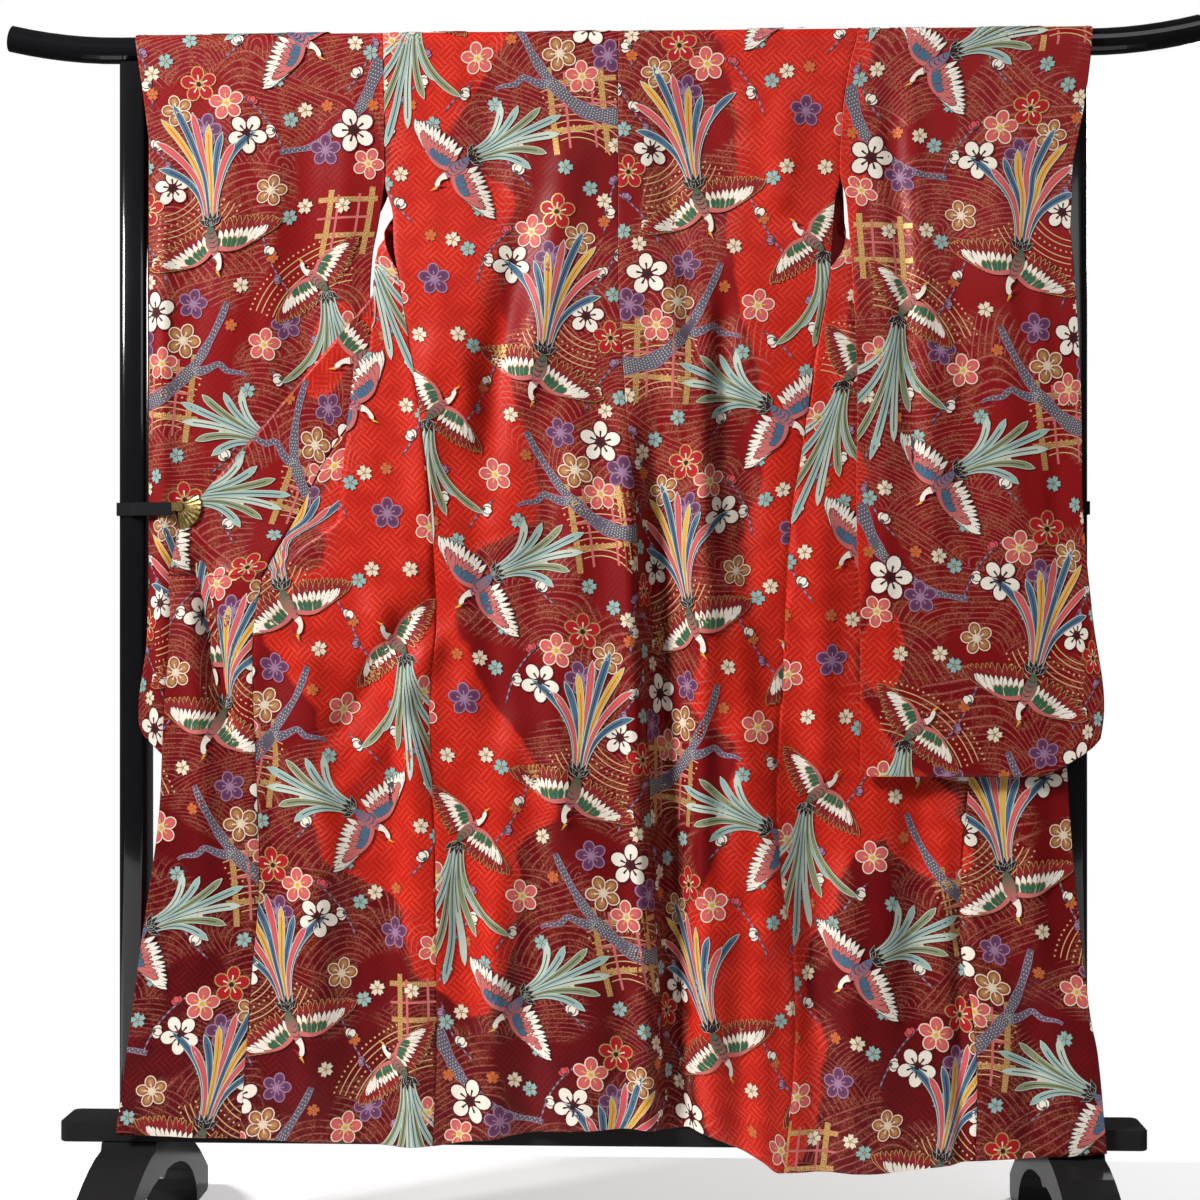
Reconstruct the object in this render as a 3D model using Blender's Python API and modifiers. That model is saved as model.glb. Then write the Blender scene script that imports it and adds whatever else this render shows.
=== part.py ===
# A furisode hung by its shoulders on a black lacquer kimono stand, its back to the viewer.
# Metres, +Z up. The viewer stands on the -Y side; left and right are the viewer's and the wearer's.
# The origin is on the floor, midway between the posts.

import math
from collections import namedtuple

import bmesh
import bpy
import numpy as np
from mathutils import Matrix, Vector

# Driving dimensions
CLOTH = 0.0015               # wall of lined silk
SEAM = 0.0004                # gap left between two pieces that are sewn together
FIT = 0.0003                 # gap left between two wooden pieces that rest on each other
BAR_HEIGHT = 1.7445          # axis of the bar over the floor
BAR_RADIUS = 0.019
BAR_HALF = 0.862             # half of the bar's length
BAR_STRAIGHT = 0.700         # the bar is straight this far from the middle, then sweeps up
BAR_SWEEP = 0.019            # rise of the bar's ends
WRAP_RISE = 0.0208           # middle of the cloth over the bar's axis, on top of it
POST_ACROSS = 0.6775         # middle of a post from the middle of the stand
POST_WIDTH = 0.041
POST_DEPTH = 0.050
BEAM_BOTTOM = 0.160
BEAM_THICKNESS = 0.029
BEAM_DEPTH = 0.080
BEAM_HALF = 0.780
FOOT_HEIGHT = BEAM_BOTTOM - FIT
FOOT_WIDTH = 0.080
FOOT_REACH = 0.290           # half of a foot's length, front to back
TOE_LENGTH = 0.075           # flat that meets the floor at each end of a foot
ARCH_HEIGHT = 0.105          # under a foot
STRAP_HEIGHT = 0.019
STRAP_WALL = 0.0015
CLIP_HEIGHT = 1.0765         # pivot of the fan clips over the floor
FAN_RADIUS = 0.032
FAN_HUB = 0.013
FAN_PLEATS = 9

Mark = namedtuple("Mark", "height across depth")
Hem = namedtuple("Hem", "across height")
Fold = namedtuple("Fold", "top_height top_across low_height low_across swell width")
Curtain = namedtuple("Curtain", "height left_edge left_side centre right_side right_edge")
Pair = namedtuple("Pair", "seam_height edge_height")
Pleat = namedtuple("Pleat", "height outer inner set_back")

# Heights of the rows that all body pieces share, from the bar down to the collar's ends
LADDER = (BAR_HEIGHT, 1.690, 1.650, 1.620, 1.556, 1.520, 1.495, 1.472, 1.459, 1.445, 1.415, 1.360, 1.300,
          1.275, 1.220, 1.165, 1.110, 1.060, 1.020, 0.976)
WRAP_TURNS = (90, 70, 45, 20)   # degrees over the bar of the rows above the ladder
SKIRT_ROWS = 11                 # rows from the ladder's foot to the hem
SIDE_SEAM_TOP = 1.415           # the armhole is open above this, as far as the sleeve's seam
UNFOLDED_ABOVE = 1.465          # the fronts hang in one layer above this
SETTLED_BELOW = 1.060           # the collar's seam comes forward to the hanging cloth below this
LEFT_SHOULDER = -0.316          # armhole seams on top of the bar
RIGHT_SHOULDER = 0.37025

# Back panels: side seams and the centre seam
LEFT_SIDE = (
    Mark(1.7445, -0.312, -0.0275), Mark(1.546, -0.309, -0.029), Mark(1.496, -0.297, -0.034),
    Mark(1.452, -0.295, -0.040), Mark(1.410, -0.288, -0.046), Mark(1.358, -0.279, -0.050),
    Mark(1.214, -0.256, -0.050), Mark(1.064, -0.239, -0.050), Mark(0.899, -0.233, -0.052),
    Mark(0.791, -0.242, -0.056), Mark(0.548, -0.232, -0.058), Mark(0.293, -0.231, -0.057),
    Mark(0.163, -0.238, -0.056),
)
CENTRE = (
    Mark(1.7445, 0.027, -0.0275), Mark(1.435, 0.027, -0.042), Mark(1.226, 0.038, -0.056),
    Mark(1.063, 0.053, -0.062), Mark(0.936, 0.056, -0.066), Mark(0.792, 0.066, -0.068),
    Mark(0.479, 0.080, -0.068), Mark(0.187, 0.099, -0.066),
)
RIGHT_SIDE = (
    Mark(1.7445, 0.3685, -0.0275), Mark(1.713, 0.360, -0.028), Mark(1.631, 0.347, -0.0285),
    Mark(1.543, 0.344, -0.029), Mark(1.514, 0.337, -0.032), Mark(1.412, 0.329, -0.040),
    Mark(1.288, 0.308, -0.044), Mark(1.154, 0.289, -0.044), Mark(1.046, 0.272, -0.044),
    Mark(0.845, 0.262, -0.046), Mark(0.657, 0.252, -0.048), Mark(0.550, 0.258, -0.050),
    Mark(0.441, 0.276, -0.052), Mark(0.332, 0.279, -0.054), Mark(0.129, 0.263, -0.055),
)

# Fronts: free armhole edge above the side seam, on the far side of the bar and round under the arm
LEFT_ARMHOLE = (
    Mark(1.7445, -0.320, 0.0275), Mark(1.556, -0.305, 0.013), Mark(1.503, -0.300, 0.002),
    Mark(1.484, -0.307, -0.016), Mark(1.472, -0.310, -0.028), Mark(1.459, -0.308, -0.0375),
    Mark(1.445, -0.304, -0.040), Mark(1.415, -0.2905, -0.046),
)
RIGHT_ARMHOLE = (
    Mark(1.7445, 0.372, 0.0275), Mark(1.556, 0.351, 0.008), Mark(1.503, 0.352, -0.006),
    Mark(1.484, 0.352, -0.014), Mark(1.472, 0.353, -0.024), Mark(1.459, 0.352, -0.0325),
    Mark(1.445, 0.349, -0.037), Mark(1.415, 0.3305, -0.040),
)

# Fronts: the deep pleat that turns them outwards, at its outer fold and its hidden inner fold,
# and how far behind the hanging cloth the outer fold starts
LEFT_PLEAT = (
    Pleat(1.459, -0.312, -0.184, 0.010), Pleat(1.445, -0.318, -0.182, 0.002),
    Pleat(1.415, -0.321, -0.180, 0), Pleat(1.360, -0.324, -0.190, 0),
    Pleat(1.300, -0.329, -0.215, 0), Pleat(1.275, -0.349, -0.232, 0),
    Pleat(1.220, -0.356, -0.280, 0), Pleat(1.165, -0.363, -0.320, 0),
    Pleat(1.110, -0.370, -0.345, 0), Pleat(1.060, -0.375, -0.357, 0),
    Pleat(1.020, -0.424, -0.4275, 0), Pleat(0.976, -0.464, -0.473, 0),
)
RIGHT_PLEAT = (
    Pleat(1.459, 0.358, 0.238, 0.010), Pleat(1.445, 0.366, 0.236, 0.002),
    Pleat(1.415, 0.371, 0.234, 0), Pleat(1.360, 0.377, 0.244, 0),
    Pleat(1.300, 0.382, 0.269, 0), Pleat(1.275, 0.386, 0.288, 0),
    Pleat(1.220, 0.395, 0.334, 0), Pleat(1.165, 0.402, 0.372, 0),
    Pleat(1.110, 0.412, 0.392, 0), Pleat(1.060, 0.425, 0.408, 0),
    Pleat(1.020, 0.478, 0.4815, 0), Pleat(0.976, 0.518, 0.527, 0),
)
PLEAT_SHARES = (0.38, 0.60, 0.85)   # depth of the pleat behind its outer fold and at its inner fold
PLEAT_COLUMNS = (3, 4, 8, 9)        # columns of a front on those folds, before and after each
PLEAT_TURN = 0.002                  # how far a fold rounds over between its two columns
HOOK = 0.009                        # how far a front's edges curl as the pleat sets in
HOOKED_COLUMNS = 3
GATHERED = (0, 0.033, 0.066, 0.10, 0.12, 0.32, 0.52, 0.72, 0.91, 0.93, 0.953, 0.977, 1)

# Collar: the seam to the fronts and the free edge, from the neck down to the collar's ends
LEFT_COLLAR_SEAM = (
    Mark(1.7445, -0.077, 0.0285), Mark(1.675, -0.111, 0.030), Mark(1.617, -0.130, 0.028),
    Mark(1.556, -0.151, 0.017), Mark(1.495, -0.178, 0.004), Mark(1.420, -0.210, -0.010),
    Mark(1.319, -0.249, -0.022), Mark(1.252, -0.295, -0.026), Mark(1.200, -0.357, -0.029),
    Mark(1.135, -0.400, -0.031), Mark(1.066, -0.434, -0.033), Mark(0.976, -0.484, -0.043),
)
LEFT_COLLAR_EDGE = (
    Mark(1.688, 0.027, 0.033), Mark(1.685, -0.016, 0.034), Mark(1.674, -0.060, 0.035),
    Mark(1.649, -0.103, 0.038), Mark(1.603, -0.145, 0.039), Mark(1.549, -0.188, 0.028),
    Mark(1.496, -0.231, 0.011), Mark(1.440, -0.278, -0.018), Mark(1.383, -0.325, -0.0295),
    Mark(1.200, -0.480, -0.032), Mark(1.070, -0.591, -0.034), Mark(1.046, -0.605, -0.035),
    Mark(0.976, -0.622, -0.039),
)
RIGHT_COLLAR_SEAM = (
    Mark(1.7445, 0.131, 0.0285), Mark(1.675, 0.165, 0.030), Mark(1.617, 0.184, 0.028),
    Mark(1.556, 0.205, 0.017), Mark(1.495, 0.232, 0.004), Mark(1.420, 0.264, -0.008),
    Mark(1.319, 0.303, -0.018), Mark(1.252, 0.349, -0.022), Mark(1.200, 0.411, -0.024),
    Mark(1.135, 0.454, -0.026), Mark(1.066, 0.488, -0.028), Mark(0.976, 0.538, -0.036),
)
RIGHT_COLLAR_EDGE = (
    Mark(1.688, 0.027, 0.033), Mark(1.685, 0.070, 0.034), Mark(1.674, 0.114, 0.035),
    Mark(1.649, 0.157, 0.038), Mark(1.603, 0.199, 0.039), Mark(1.549, 0.242, 0.028),
    Mark(1.496, 0.285, 0.010), Mark(1.440, 0.330, -0.012), Mark(1.383, 0.379, -0.021),
    Mark(1.200, 0.534, -0.026), Mark(1.095, 0.622, -0.028), Mark(1.070, 0.632, -0.029),
    Mark(0.976, 0.655, -0.033),
)
COLLAR_PAIRS = (                # which points of the collar's seam and free edge face each other
    Pair(BAR_HEIGHT, 1.668), Pair(1.690, 1.650), Pair(1.650, 1.626), Pair(1.620, 1.604),
    Pair(1.556, 1.550),
    Pair(1.495, 1.498), Pair(1.415, 1.440), Pair(1.300, 1.366), Pair(1.060, 1.110),
    Pair(1.020, 1.046), Pair(0.976, 0.976),
)
NECK_LEFT = -0.064              # ends of the neck opening on top of the bar
NECK_RIGHT = 0.118
NECK_ROWS = 4                   # rows of the collar across the back of the neck
NECK_EDGE_HEIGHT = 1.685        # free edge of the collar behind the ends of the neck opening
COLLAR_WRAP_SHARE = 0.6         # share of the collar's width that lies on the bar at the neck

# Overlap panels (okumi): seam to the front and free edge
LEFT_OKUMI_SEAM = (
    Mark(0.976, -0.484, 0), Mark(0.863, -0.496, 0), Mark(0.717, -0.492, 0), Mark(0.556, -0.487, 0),
    Mark(0.370, -0.499, 0), Mark(0.172, -0.514, 0),
)
LEFT_OKUMI_EDGE = (
    Mark(0.976, -0.622, 0), Mark(0.918, -0.617, 0), Mark(0.753, -0.625, 0), Mark(0.655, -0.629, 0),
    Mark(0.436, -0.658, 0), Mark(0.175, -0.693, 0),
)
RIGHT_OKUMI_SEAM = (
    Mark(0.976, 0.538, 0), Mark(0.717, 0.527, 0), Mark(0.478, 0.514, 0), Mark(0.333, 0.533, 0),
    Mark(0.262, 0.537, 0), Mark(0.147, 0.534, 0),
)
RIGHT_OKUMI_EDGE = (
    Mark(0.976, 0.655, 0), Mark(0.658, 0.668, 0), Mark(0.441, 0.687, 0), Mark(0.351, 0.697, 0),
    Mark(0.298, 0.707, 0), Mark(0.159, 0.719, 0),
)

# Hem, left of the centre seam and right of it
LEFT_HEM = (
    Hem(-0.693, 0.175), Hem(-0.540, 0.172), Hem(-0.284, 0.162), Hem(-0.235, 0.163),
    Hem(-0.175, 0.173), Hem(-0.109, 0.181), Hem(0.001, 0.190), Hem(0.055, 0.191), Hem(0.099, 0.187),
)
RIGHT_HEM = (
    Hem(0.099, 0.187), Hem(0.126, 0.190), Hem(0.162, 0.181), Hem(0.188, 0.168), Hem(0.229, 0.148),
    Hem(0.257, 0.129), Hem(0.347, 0.128), Hem(0.502, 0.141), Hem(0.534, 0.147), Hem(0.646, 0.153),
    Hem(0.719, 0.159),
)

# Depth of the hanging cloth at its seams, before folds
CURTAIN = (
    Curtain(1.7445, -0.036, -0.0275, -0.0275, -0.0275, -0.033),
    Curtain(1.546, -0.036, -0.029, -0.035, -0.029, -0.033),
    Curtain(1.496, -0.036, -0.034, -0.038, -0.033, -0.033),
    Curtain(1.452, -0.036, -0.040, -0.041, -0.037, -0.033),
    Curtain(1.410, -0.036, -0.046, -0.045, -0.040, -0.033),
    Curtain(1.358, -0.036, -0.050, -0.049, -0.043, -0.033),
    Curtain(1.226, -0.036, -0.050, -0.056, -0.044, -0.033),
    Curtain(1.063, -0.036, -0.050, -0.062, -0.044, -0.033),
    Curtain(0.972, -0.039, -0.050, -0.065, -0.045, -0.033),
    Curtain(0.899, -0.050, -0.052, -0.067, -0.046, -0.034),
    Curtain(0.791, -0.056, -0.056, -0.068, -0.047, -0.035),
    Curtain(0.548, -0.057, -0.058, -0.068, -0.050, -0.038),
    Curtain(0.333, -0.057, -0.058, -0.068, -0.054, -0.044),
    Curtain(0.129, -0.056, -0.056, -0.066, -0.055, -0.051),
)

# Largest folds of the hanging cloth; a swell above nought comes towards the viewer
FOLDS = (
    Fold(1.300, 0.080, -0.200, 0.116, -0.026, 0.030),    # deep valley beside the centre seam
    Fold(1.480, 0.152, -0.200, 0.136, 0.014, 0.020),     # ridge that closes it
    Fold(1.420, 0.180, 0.950, 0.166, -0.010, 0.018),
    Fold(1.700, 0.128, 1.480, 0.190, -0.005, 0.025),
    Fold(1.000, 0.190, 0.600, 0.220, 0.008, 0.025),
    Fold(0.700, 0.212, -0.200, 0.205, -0.009, 0.020),
    Fold(1.440, -0.128, 1.000, -0.165, -0.008, 0.025),   # left back
    Fold(1.250, -0.030, -0.200, -0.010, 0.007, 0.035),
    Fold(0.620, -0.195, -0.200, -0.200, -0.012, 0.030),
    Fold(1.150, -0.100, -0.200, -0.105, -0.006, 0.030),
    Fold(0.920, -0.262, -0.200, -0.270, 0.007, 0.025),   # left front
    Fold(0.900, -0.330, -0.200, -0.340, -0.007, 0.028),
    Fold(1.030, -0.560, 0.700, -0.430, 0.009, 0.028),    # drag from the clip
    Fold(1.045, -0.583, 0.740, -0.526, -0.013, 0.014),   # crease under the clip
    Fold(0.860, -0.560, -0.200, -0.590, 0.005, 0.026),   # left overlap panel
    Fold(0.640, 0.511, -0.200, 0.518, -0.011, 0.012),    # right front, beside the overlap panel
    Fold(0.700, 0.400, -0.200, 0.395, 0.006, 0.028),
    Fold(0.760, 0.325, -0.200, 0.335, -0.006, 0.022),
)
FOLD_FADE = 0.2                 # share of a fold's length over which it rises or dies away

SleeveSection = namedtuple(
    "SleeveSection",
    "height near_body near_body_depth near_cuff near_cuff_depth"
    " far_body far_body_depth far_cuff far_cuff_depth",
)
LEFT_SLEEVE = (
    SleeveSection(1.7445, -0.312, -0.0275, -0.671, -0.0285, -0.320, 0.0275, -0.682, 0.0300),
    SleeveSection(1.640, -0.3104, -0.0283, -0.656, -0.0290, -0.3117, 0.0194, -0.668, 0.0310),
    SleeveSection(1.600, -0.3098, -0.0286, -0.652, -0.0290, -0.3085, 0.0164, -0.654, 0.0310),
    SleeveSection(1.556, -0.3091, -0.0289, -0.652, -0.0290, -0.3050, 0.0130, -0.648, 0.0290),
    SleeveSection(1.520, -0.313, -0.0275, -0.652, -0.0290, -0.314, 0.006, -0.647, 0.0180),
    SleeveSection(1.480, -0.320, -0.0240, -0.652, -0.0290, -0.333, -0.002, -0.647, 0.0050),
    SleeveSection(1.440, -0.328, -0.0210, -0.652, -0.0290, -0.337, -0.006, -0.649, -0.0080),
    SleeveSection(1.380, -0.332, -0.0190, -0.652, -0.0290, -0.338, -0.009, -0.6495, -0.0170),
    SleeveSection(1.300, -0.332, -0.0190, -0.652, -0.0290, -0.338, -0.009, -0.6500, -0.0210),
    SleeveSection(0.960, -0.332, -0.0190, -0.652, -0.0295, -0.338, -0.010, -0.6500, -0.0220),
    SleeveSection(0.920, -0.332, -0.0220, -0.652, -0.0350, -0.338, -0.013, -0.6500, -0.0280),
    SleeveSection(0.880, -0.332, -0.0250, -0.653, -0.0385, -0.338, -0.016, -0.6530, -0.0310),
    SleeveSection(0.789, -0.332, -0.0280, -0.664, -0.0400, -0.338, -0.019, -0.6640, -0.0325),
    SleeveSection(0.768, -0.332, -0.0280, -0.664, -0.0400, -0.338, -0.019, -0.6640, -0.0330),
    SleeveSection(0.737, -0.332, -0.0280, -0.652, -0.0400, -0.338, -0.019, -0.6520, -0.0330),
    SleeveSection(0.690, -0.332, -0.0280, -0.632, -0.0390, -0.338, -0.020, -0.6320, -0.0320),
)
RIGHT_SLEEVE = (
    SleeveSection(1.7445, 0.3685, -0.0275, 0.703, -0.0290, 0.3720, 0.0275, 0.710, 0.0300),
    SleeveSection(1.713, 0.3600, -0.0280, 0.700, -0.0290, 0.3685, 0.0242, 0.702, 0.0310),
    SleeveSection(1.640, 0.3484, -0.0285, 0.690, -0.0300, 0.3604, 0.0167, 0.668, 0.0310),
    SleeveSection(1.600, 0.3458, -0.0287, 0.682, -0.0310, 0.3559, 0.0126, 0.653, 0.0310),
    SleeveSection(1.556, 0.3444, -0.0289, 0.674, -0.0330, 0.3510, 0.0080, 0.646, 0.0280),
    SleeveSection(1.512, 0.3530, -0.0360, 0.672, -0.0370, 0.3590, -0.0080, 0.645, 0.0120),
    SleeveSection(1.466, 0.3560, -0.0460, 0.669, -0.0430, 0.3700, -0.0310, 0.645, -0.0100),
    SleeveSection(1.420, 0.3590, -0.0540, 0.672, -0.0490, 0.3730, -0.0445, 0.648, -0.0290),
    SleeveSection(1.376, 0.3610, -0.0590, 0.674, -0.0540, 0.3740, -0.0505, 0.660, -0.0420),
    SleeveSection(1.320, 0.3640, -0.0615, 0.677, -0.0570, 0.3750, -0.0535, 0.672, -0.0480),
    SleeveSection(1.224, 0.3660, -0.0620, 0.681, -0.0590, 0.3750, -0.0545, 0.678, -0.0515),
    SleeveSection(1.080, 0.3650, -0.0620, 0.683, -0.0600, 0.3750, -0.0550, 0.681, -0.0530),
    SleeveSection(0.918, 0.3700, -0.0620, 0.697, -0.0600, 0.3760, -0.0550, 0.694, -0.0530),
    SleeveSection(0.793, 0.3710, -0.0620, 0.713, -0.0600, 0.3760, -0.0550, 0.710, -0.0530),
    SleeveSection(0.742, 0.3710, -0.0620, 0.707, -0.0600, 0.3760, -0.0550, 0.704, -0.0530),
    SleeveSection(0.690, 0.3710, -0.0610, 0.664, -0.0590, 0.3760, -0.0555, 0.662, -0.0535),
)
LEFT_SLEEVE_FOLDS = (
    Fold(1.620, -0.629, 0.660, -0.631, 0.006, 0.011),    # turned cuff edge
    Fold(1.700, -0.420, 1.100, -0.440, -0.005, 0.030),
    Fold(1.700, -0.530, 1.250, -0.540, 0.004, 0.030),
)
RIGHT_SLEEVE_FOLDS = (
    Fold(1.740, 0.414, 1.050, 0.452, -0.007, 0.016),
    Fold(1.740, 0.436, 0.900, 0.480, 0.005, 0.018),
    Fold(1.650, 0.560, 0.950, 0.590, 0.005, 0.030),
    Fold(1.200, 0.640, 0.640, 0.655, -0.003, 0.022),
)
LEFT_SLEEVE_COLUMNS = (0, 0.12, 0.25, 0.38, 0.51, 0.64, 0.76, 0.86, 0.925, 0.965, 1)
RIGHT_SLEEVE_COLUMNS = (0, 0.07, 0.145, 0.215, 0.30, 0.42, 0.55, 0.68, 0.80, 0.91, 1)
SLEEVE_BOTTOM = 0.692
SLEEVE_CORNER_RISE = 0.055      # rounded lower corner at the cuff
SLEEVE_CORNER_START = 0.84
SLEEVE_FALL_ROWS = 15
SLEEVE_WRAP_ROWS = 8


def smooth(value):
    value = min(max(value, 0.0), 1.0)
    return value * value * (3 - 2 * value)


def mix(start, end, share):
    return start + (end - start) * share


def line(marks):
    """Give a function that reads a seam or an edge, as across and depth, at any height."""
    rising = sorted(marks, key=lambda mark: mark.height)
    heights = [mark.height for mark in rising]
    across = [mark.across for mark in rising]
    depths = [mark.depth for mark in rising]
    return lambda height: (
        float(np.interp(height, heights, across)),
        float(np.interp(height, heights, depths)),
    )


def column(rows, name, height):
    """Read one named column of a table of sections at a height."""
    rising = sorted(rows, key=lambda row: row[0])
    return float(np.interp(height, [row[0] for row in rising], [getattr(row, name) for row in rising]))


left_side = line(LEFT_SIDE)
centre_seam = line(CENTRE)
right_side = line(RIGHT_SIDE)
left_okumi_seam = line(LEFT_OKUMI_SEAM)
left_okumi_edge = line(LEFT_OKUMI_EDGE)
right_okumi_seam = line(RIGHT_OKUMI_SEAM)
right_okumi_edge = line(RIGHT_OKUMI_EDGE)


def folded(folds, across, height):
    """Add up how far the folds bring a point towards the viewer."""
    total = 0.0
    for fold in folds:
        run = (fold.top_height - height) / (fold.top_height - fold.low_height)
        strength = smooth(run / FOLD_FADE) * smooth((1 - run) / FOLD_FADE)
        middle = mix(fold.top_across, fold.low_across, run)
        total += fold.swell * strength * math.exp(-(((across - middle) / fold.width) ** 2))
    return total


def curtain(across, height):
    """Depth of the hanging cloth anywhere between the two overlap panels' free edges."""
    stations = (
        (left_okumi_edge(height)[0], "left_edge"), (left_side(height)[0], "left_side"),
        (centre_seam(height)[0], "centre"), (right_side(height)[0], "right_side"),
        (right_okumi_edge(height)[0], "right_edge"),
    )
    depths = [column(CURTAIN, name, height) for _, name in stations]
    return float(np.interp(across, [x for x, _ in stations], depths)) - folded(FOLDS, across, height)


def body_rows():
    return len(WRAP_TURNS) + len(LADDER) - 1 + SKIRT_ROWS


def body_row(index, hem):
    """Height of a body row, and the degrees it has turned over the bar."""
    if index < len(WRAP_TURNS):
        return BAR_HEIGHT, WRAP_TURNS[index]
    index -= len(WRAP_TURNS)
    if index < len(LADDER):
        return LADDER[index], 0
    share = (index - len(LADDER) + 1) / SKIRT_ROWS
    return mix(LADDER[-1], hem, share), 0


def over_bar(across, depth, height, turn):
    """Place a point that hangs at a height, or lies turned over the top of the bar."""
    lean = math.cos(math.radians(turn))
    rise = WRAP_RISE * math.sin(math.radians(turn))
    if turn >= 90:
        return Vector((across, math.copysign(SEAM / 2, depth), height + rise))
    return Vector((across, depth * lean, height + rise))


def material(name, colour, roughness, metallic=0.0):
    found = bpy.data.materials.new(name)
    found.use_nodes = True
    found.diffuse_color = (*colour, 1)
    shader = found.node_tree.nodes["Principled BSDF"]
    shader.inputs["Base Color"].default_value = (*colour, 1)
    shader.inputs["Roughness"].default_value = roughness
    shader.inputs["Metallic"].default_value = metallic
    return found


def add_object(name, mesh, finish, collection):
    found = bpy.data.objects.new(name, mesh)
    mesh.materials.append(finish)
    collection.objects.link(found)
    return found


def add_sheet(name, columns, rows, place, finish, collection):
    """Make a cloth piece: a grid laid out by place(column, row), given its wall by Solidify."""
    shape = bmesh.new()
    bmesh.ops.create_grid(shape, x_segments=columns, y_segments=rows, size=0.5)
    for vert in shape.verts:
        vert.co = place(round((vert.co.x + 0.5) * columns), round((0.5 - vert.co.y) * rows))
    mesh = bpy.data.meshes.new(name)
    shape.to_mesh(mesh)
    shape.free()
    found = add_object(name, mesh, finish, collection)
    wall = found.modifiers.new("Wall", "SOLIDIFY")
    wall.thickness = CLOTH
    wall.offset = 0
    return found


def add_back(name, outer, shoulder, inner, hem_marks, finish, collection):
    """Make a back panel between its side seam and the centre seam."""
    columns = 12
    hem_across = [mark.across for mark in hem_marks]
    hem_height = [mark.height for mark in hem_marks]
    side = 1 if outer(BAR_HEIGHT)[0] < inner(BAR_HEIGHT)[0] else -1

    def place(index, row):
        share = index / columns
        foot = mix(outer(0)[0], inner(0)[0], share)
        hem = float(np.interp(foot, hem_across, hem_height))
        height, turn = body_row(row, hem)
        start = mix(outer(height)[0], shoulder, turn / 90) + side * SEAM / 2
        end = inner(height)[0] - side * SEAM / 2
        across = mix(start, end, share)
        return over_bar(across, curtain(across, height), height, turn)

    add_sheet(name, columns, body_rows(), place, finish, collection)


def settled(across, depth, height):
    """Bring the collar and its seam forward to the hanging cloth near the collar's ends."""
    share = smooth((SETTLED_BELOW - height) / (SETTLED_BELOW - LADDER[-1]))
    return mix(depth, curtain(across, height), share)


def pleat_section(start, lay, outer, inner_x, seam):
    """Section of a front through its pleat: out to the outer fold, back in, and out to the seam.

    Points are across and in depth; lay gives the depth of the layer in front between its ends."""
    gap = seam[1] - outer[1]
    behind, turn, back = (outer[1] + gap * share for share in PLEAT_SHARES)
    inward = 1 if inner_x > outer[0] else -1
    step = min(PLEAT_TURN, abs(inner_x - outer[0]) / 4) * inward
    before, after, inner_before, inner_after = PLEAT_COLUMNS
    last = len(GATHERED) - 1
    points = []
    for index in range(last + 1):
        if index <= before:
            share = index / before
            across = mix(start[0], outer[0], share)
            points.append((across, lay(across, share)))
        elif index <= inner_before:
            share = (index - after) / (inner_before - after)
            points.append((mix(outer[0] + step, inner_x, share), mix(behind, turn, share)))
        else:
            share = (index - inner_after) / (last - inner_after)
            points.append((mix(inner_x - step, seam[0], share), mix(back, seam[1], share)))
    return points


def add_front(name, armhole, shoulder, side, pleat, collar_seam, neck, okumi_seam, hem_marks,
              finish, collection):
    """Make a front: from its side seam to the collar's seam, and lower down to the overlap panel's."""
    columns = len(GATHERED) - 1
    hem_across = [mark.across for mark in hem_marks]
    hem_height = [mark.height for mark in hem_marks]
    outward = -1 if side(0)[0] < 0 else 1

    def hanging(index, row, height):
        share = index / columns
        start = side(height)[0] + outward * SEAM / 2
        across = mix(start, okumi_seam(height)[0] - outward * SEAM / 2, share)
        return Vector((across, curtain(across, height), height))

    def single(index, height, turn):
        gathered = smooth((1.640 - height) / (1.640 - 1.472))
        share = mix(index / columns, GATHERED[index], gathered)
        start_x, start_y = armhole(height)
        start_x = mix(start_x, shoulder, turn / 90) - outward * SEAM / 2
        seam_x, seam_y = collar_seam(height)
        seam_x = mix(seam_x, neck, turn / 90) + outward * SEAM / 2
        hook = HOOK * smooth((1.500 - height) / (1.500 - 1.472))
        near_start = max(1 - index / HOOKED_COLUMNS, 0) ** 1.5
        near_seam = max(1 - (columns - index) / HOOKED_COLUMNS, 0) ** 1.5
        depth = mix(start_y + hook, seam_y - hook, share) + hook * (near_seam - near_start)
        return over_bar(mix(start_x, seam_x, share), depth, height, turn)

    def pleated(index, height):
        outer_x = column(pleat, "outer", height)
        outer_y = curtain(outer_x, height) + column(pleat, "set_back", height)
        seam_x, seam_y = collar_seam(height)
        if height > SIDE_SEAM_TOP:
            start_x, start_y = armhole(height)
        else:
            start_x = side(height)[0] + outward * SEAM / 2
            start_y = curtain(start_x, height)

        def lay(across, share):
            straight = mix(start_y, outer_y, share)
            return straight if height > SIDE_SEAM_TOP else curtain(across, height)

        points = pleat_section((start_x, start_y), lay, (outer_x, outer_y),
                               column(pleat, "inner", height),
                               (seam_x - outward * SEAM / 2, settled(seam_x, seam_y, height)))
        return Vector((*points[index], height))

    def place(index, row):
        foot = mix(side(0)[0], okumi_seam(0)[0], index / columns)
        height, turn = body_row(row, float(np.interp(foot, hem_across, hem_height)))
        if height < LADDER[-1]:
            return hanging(index, row, height)
        if height > UNFOLDED_ABOVE:
            return single(index, height, turn)
        return pleated(index, height)

    add_sheet(name, columns, body_rows(), place, finish, collection)


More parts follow.
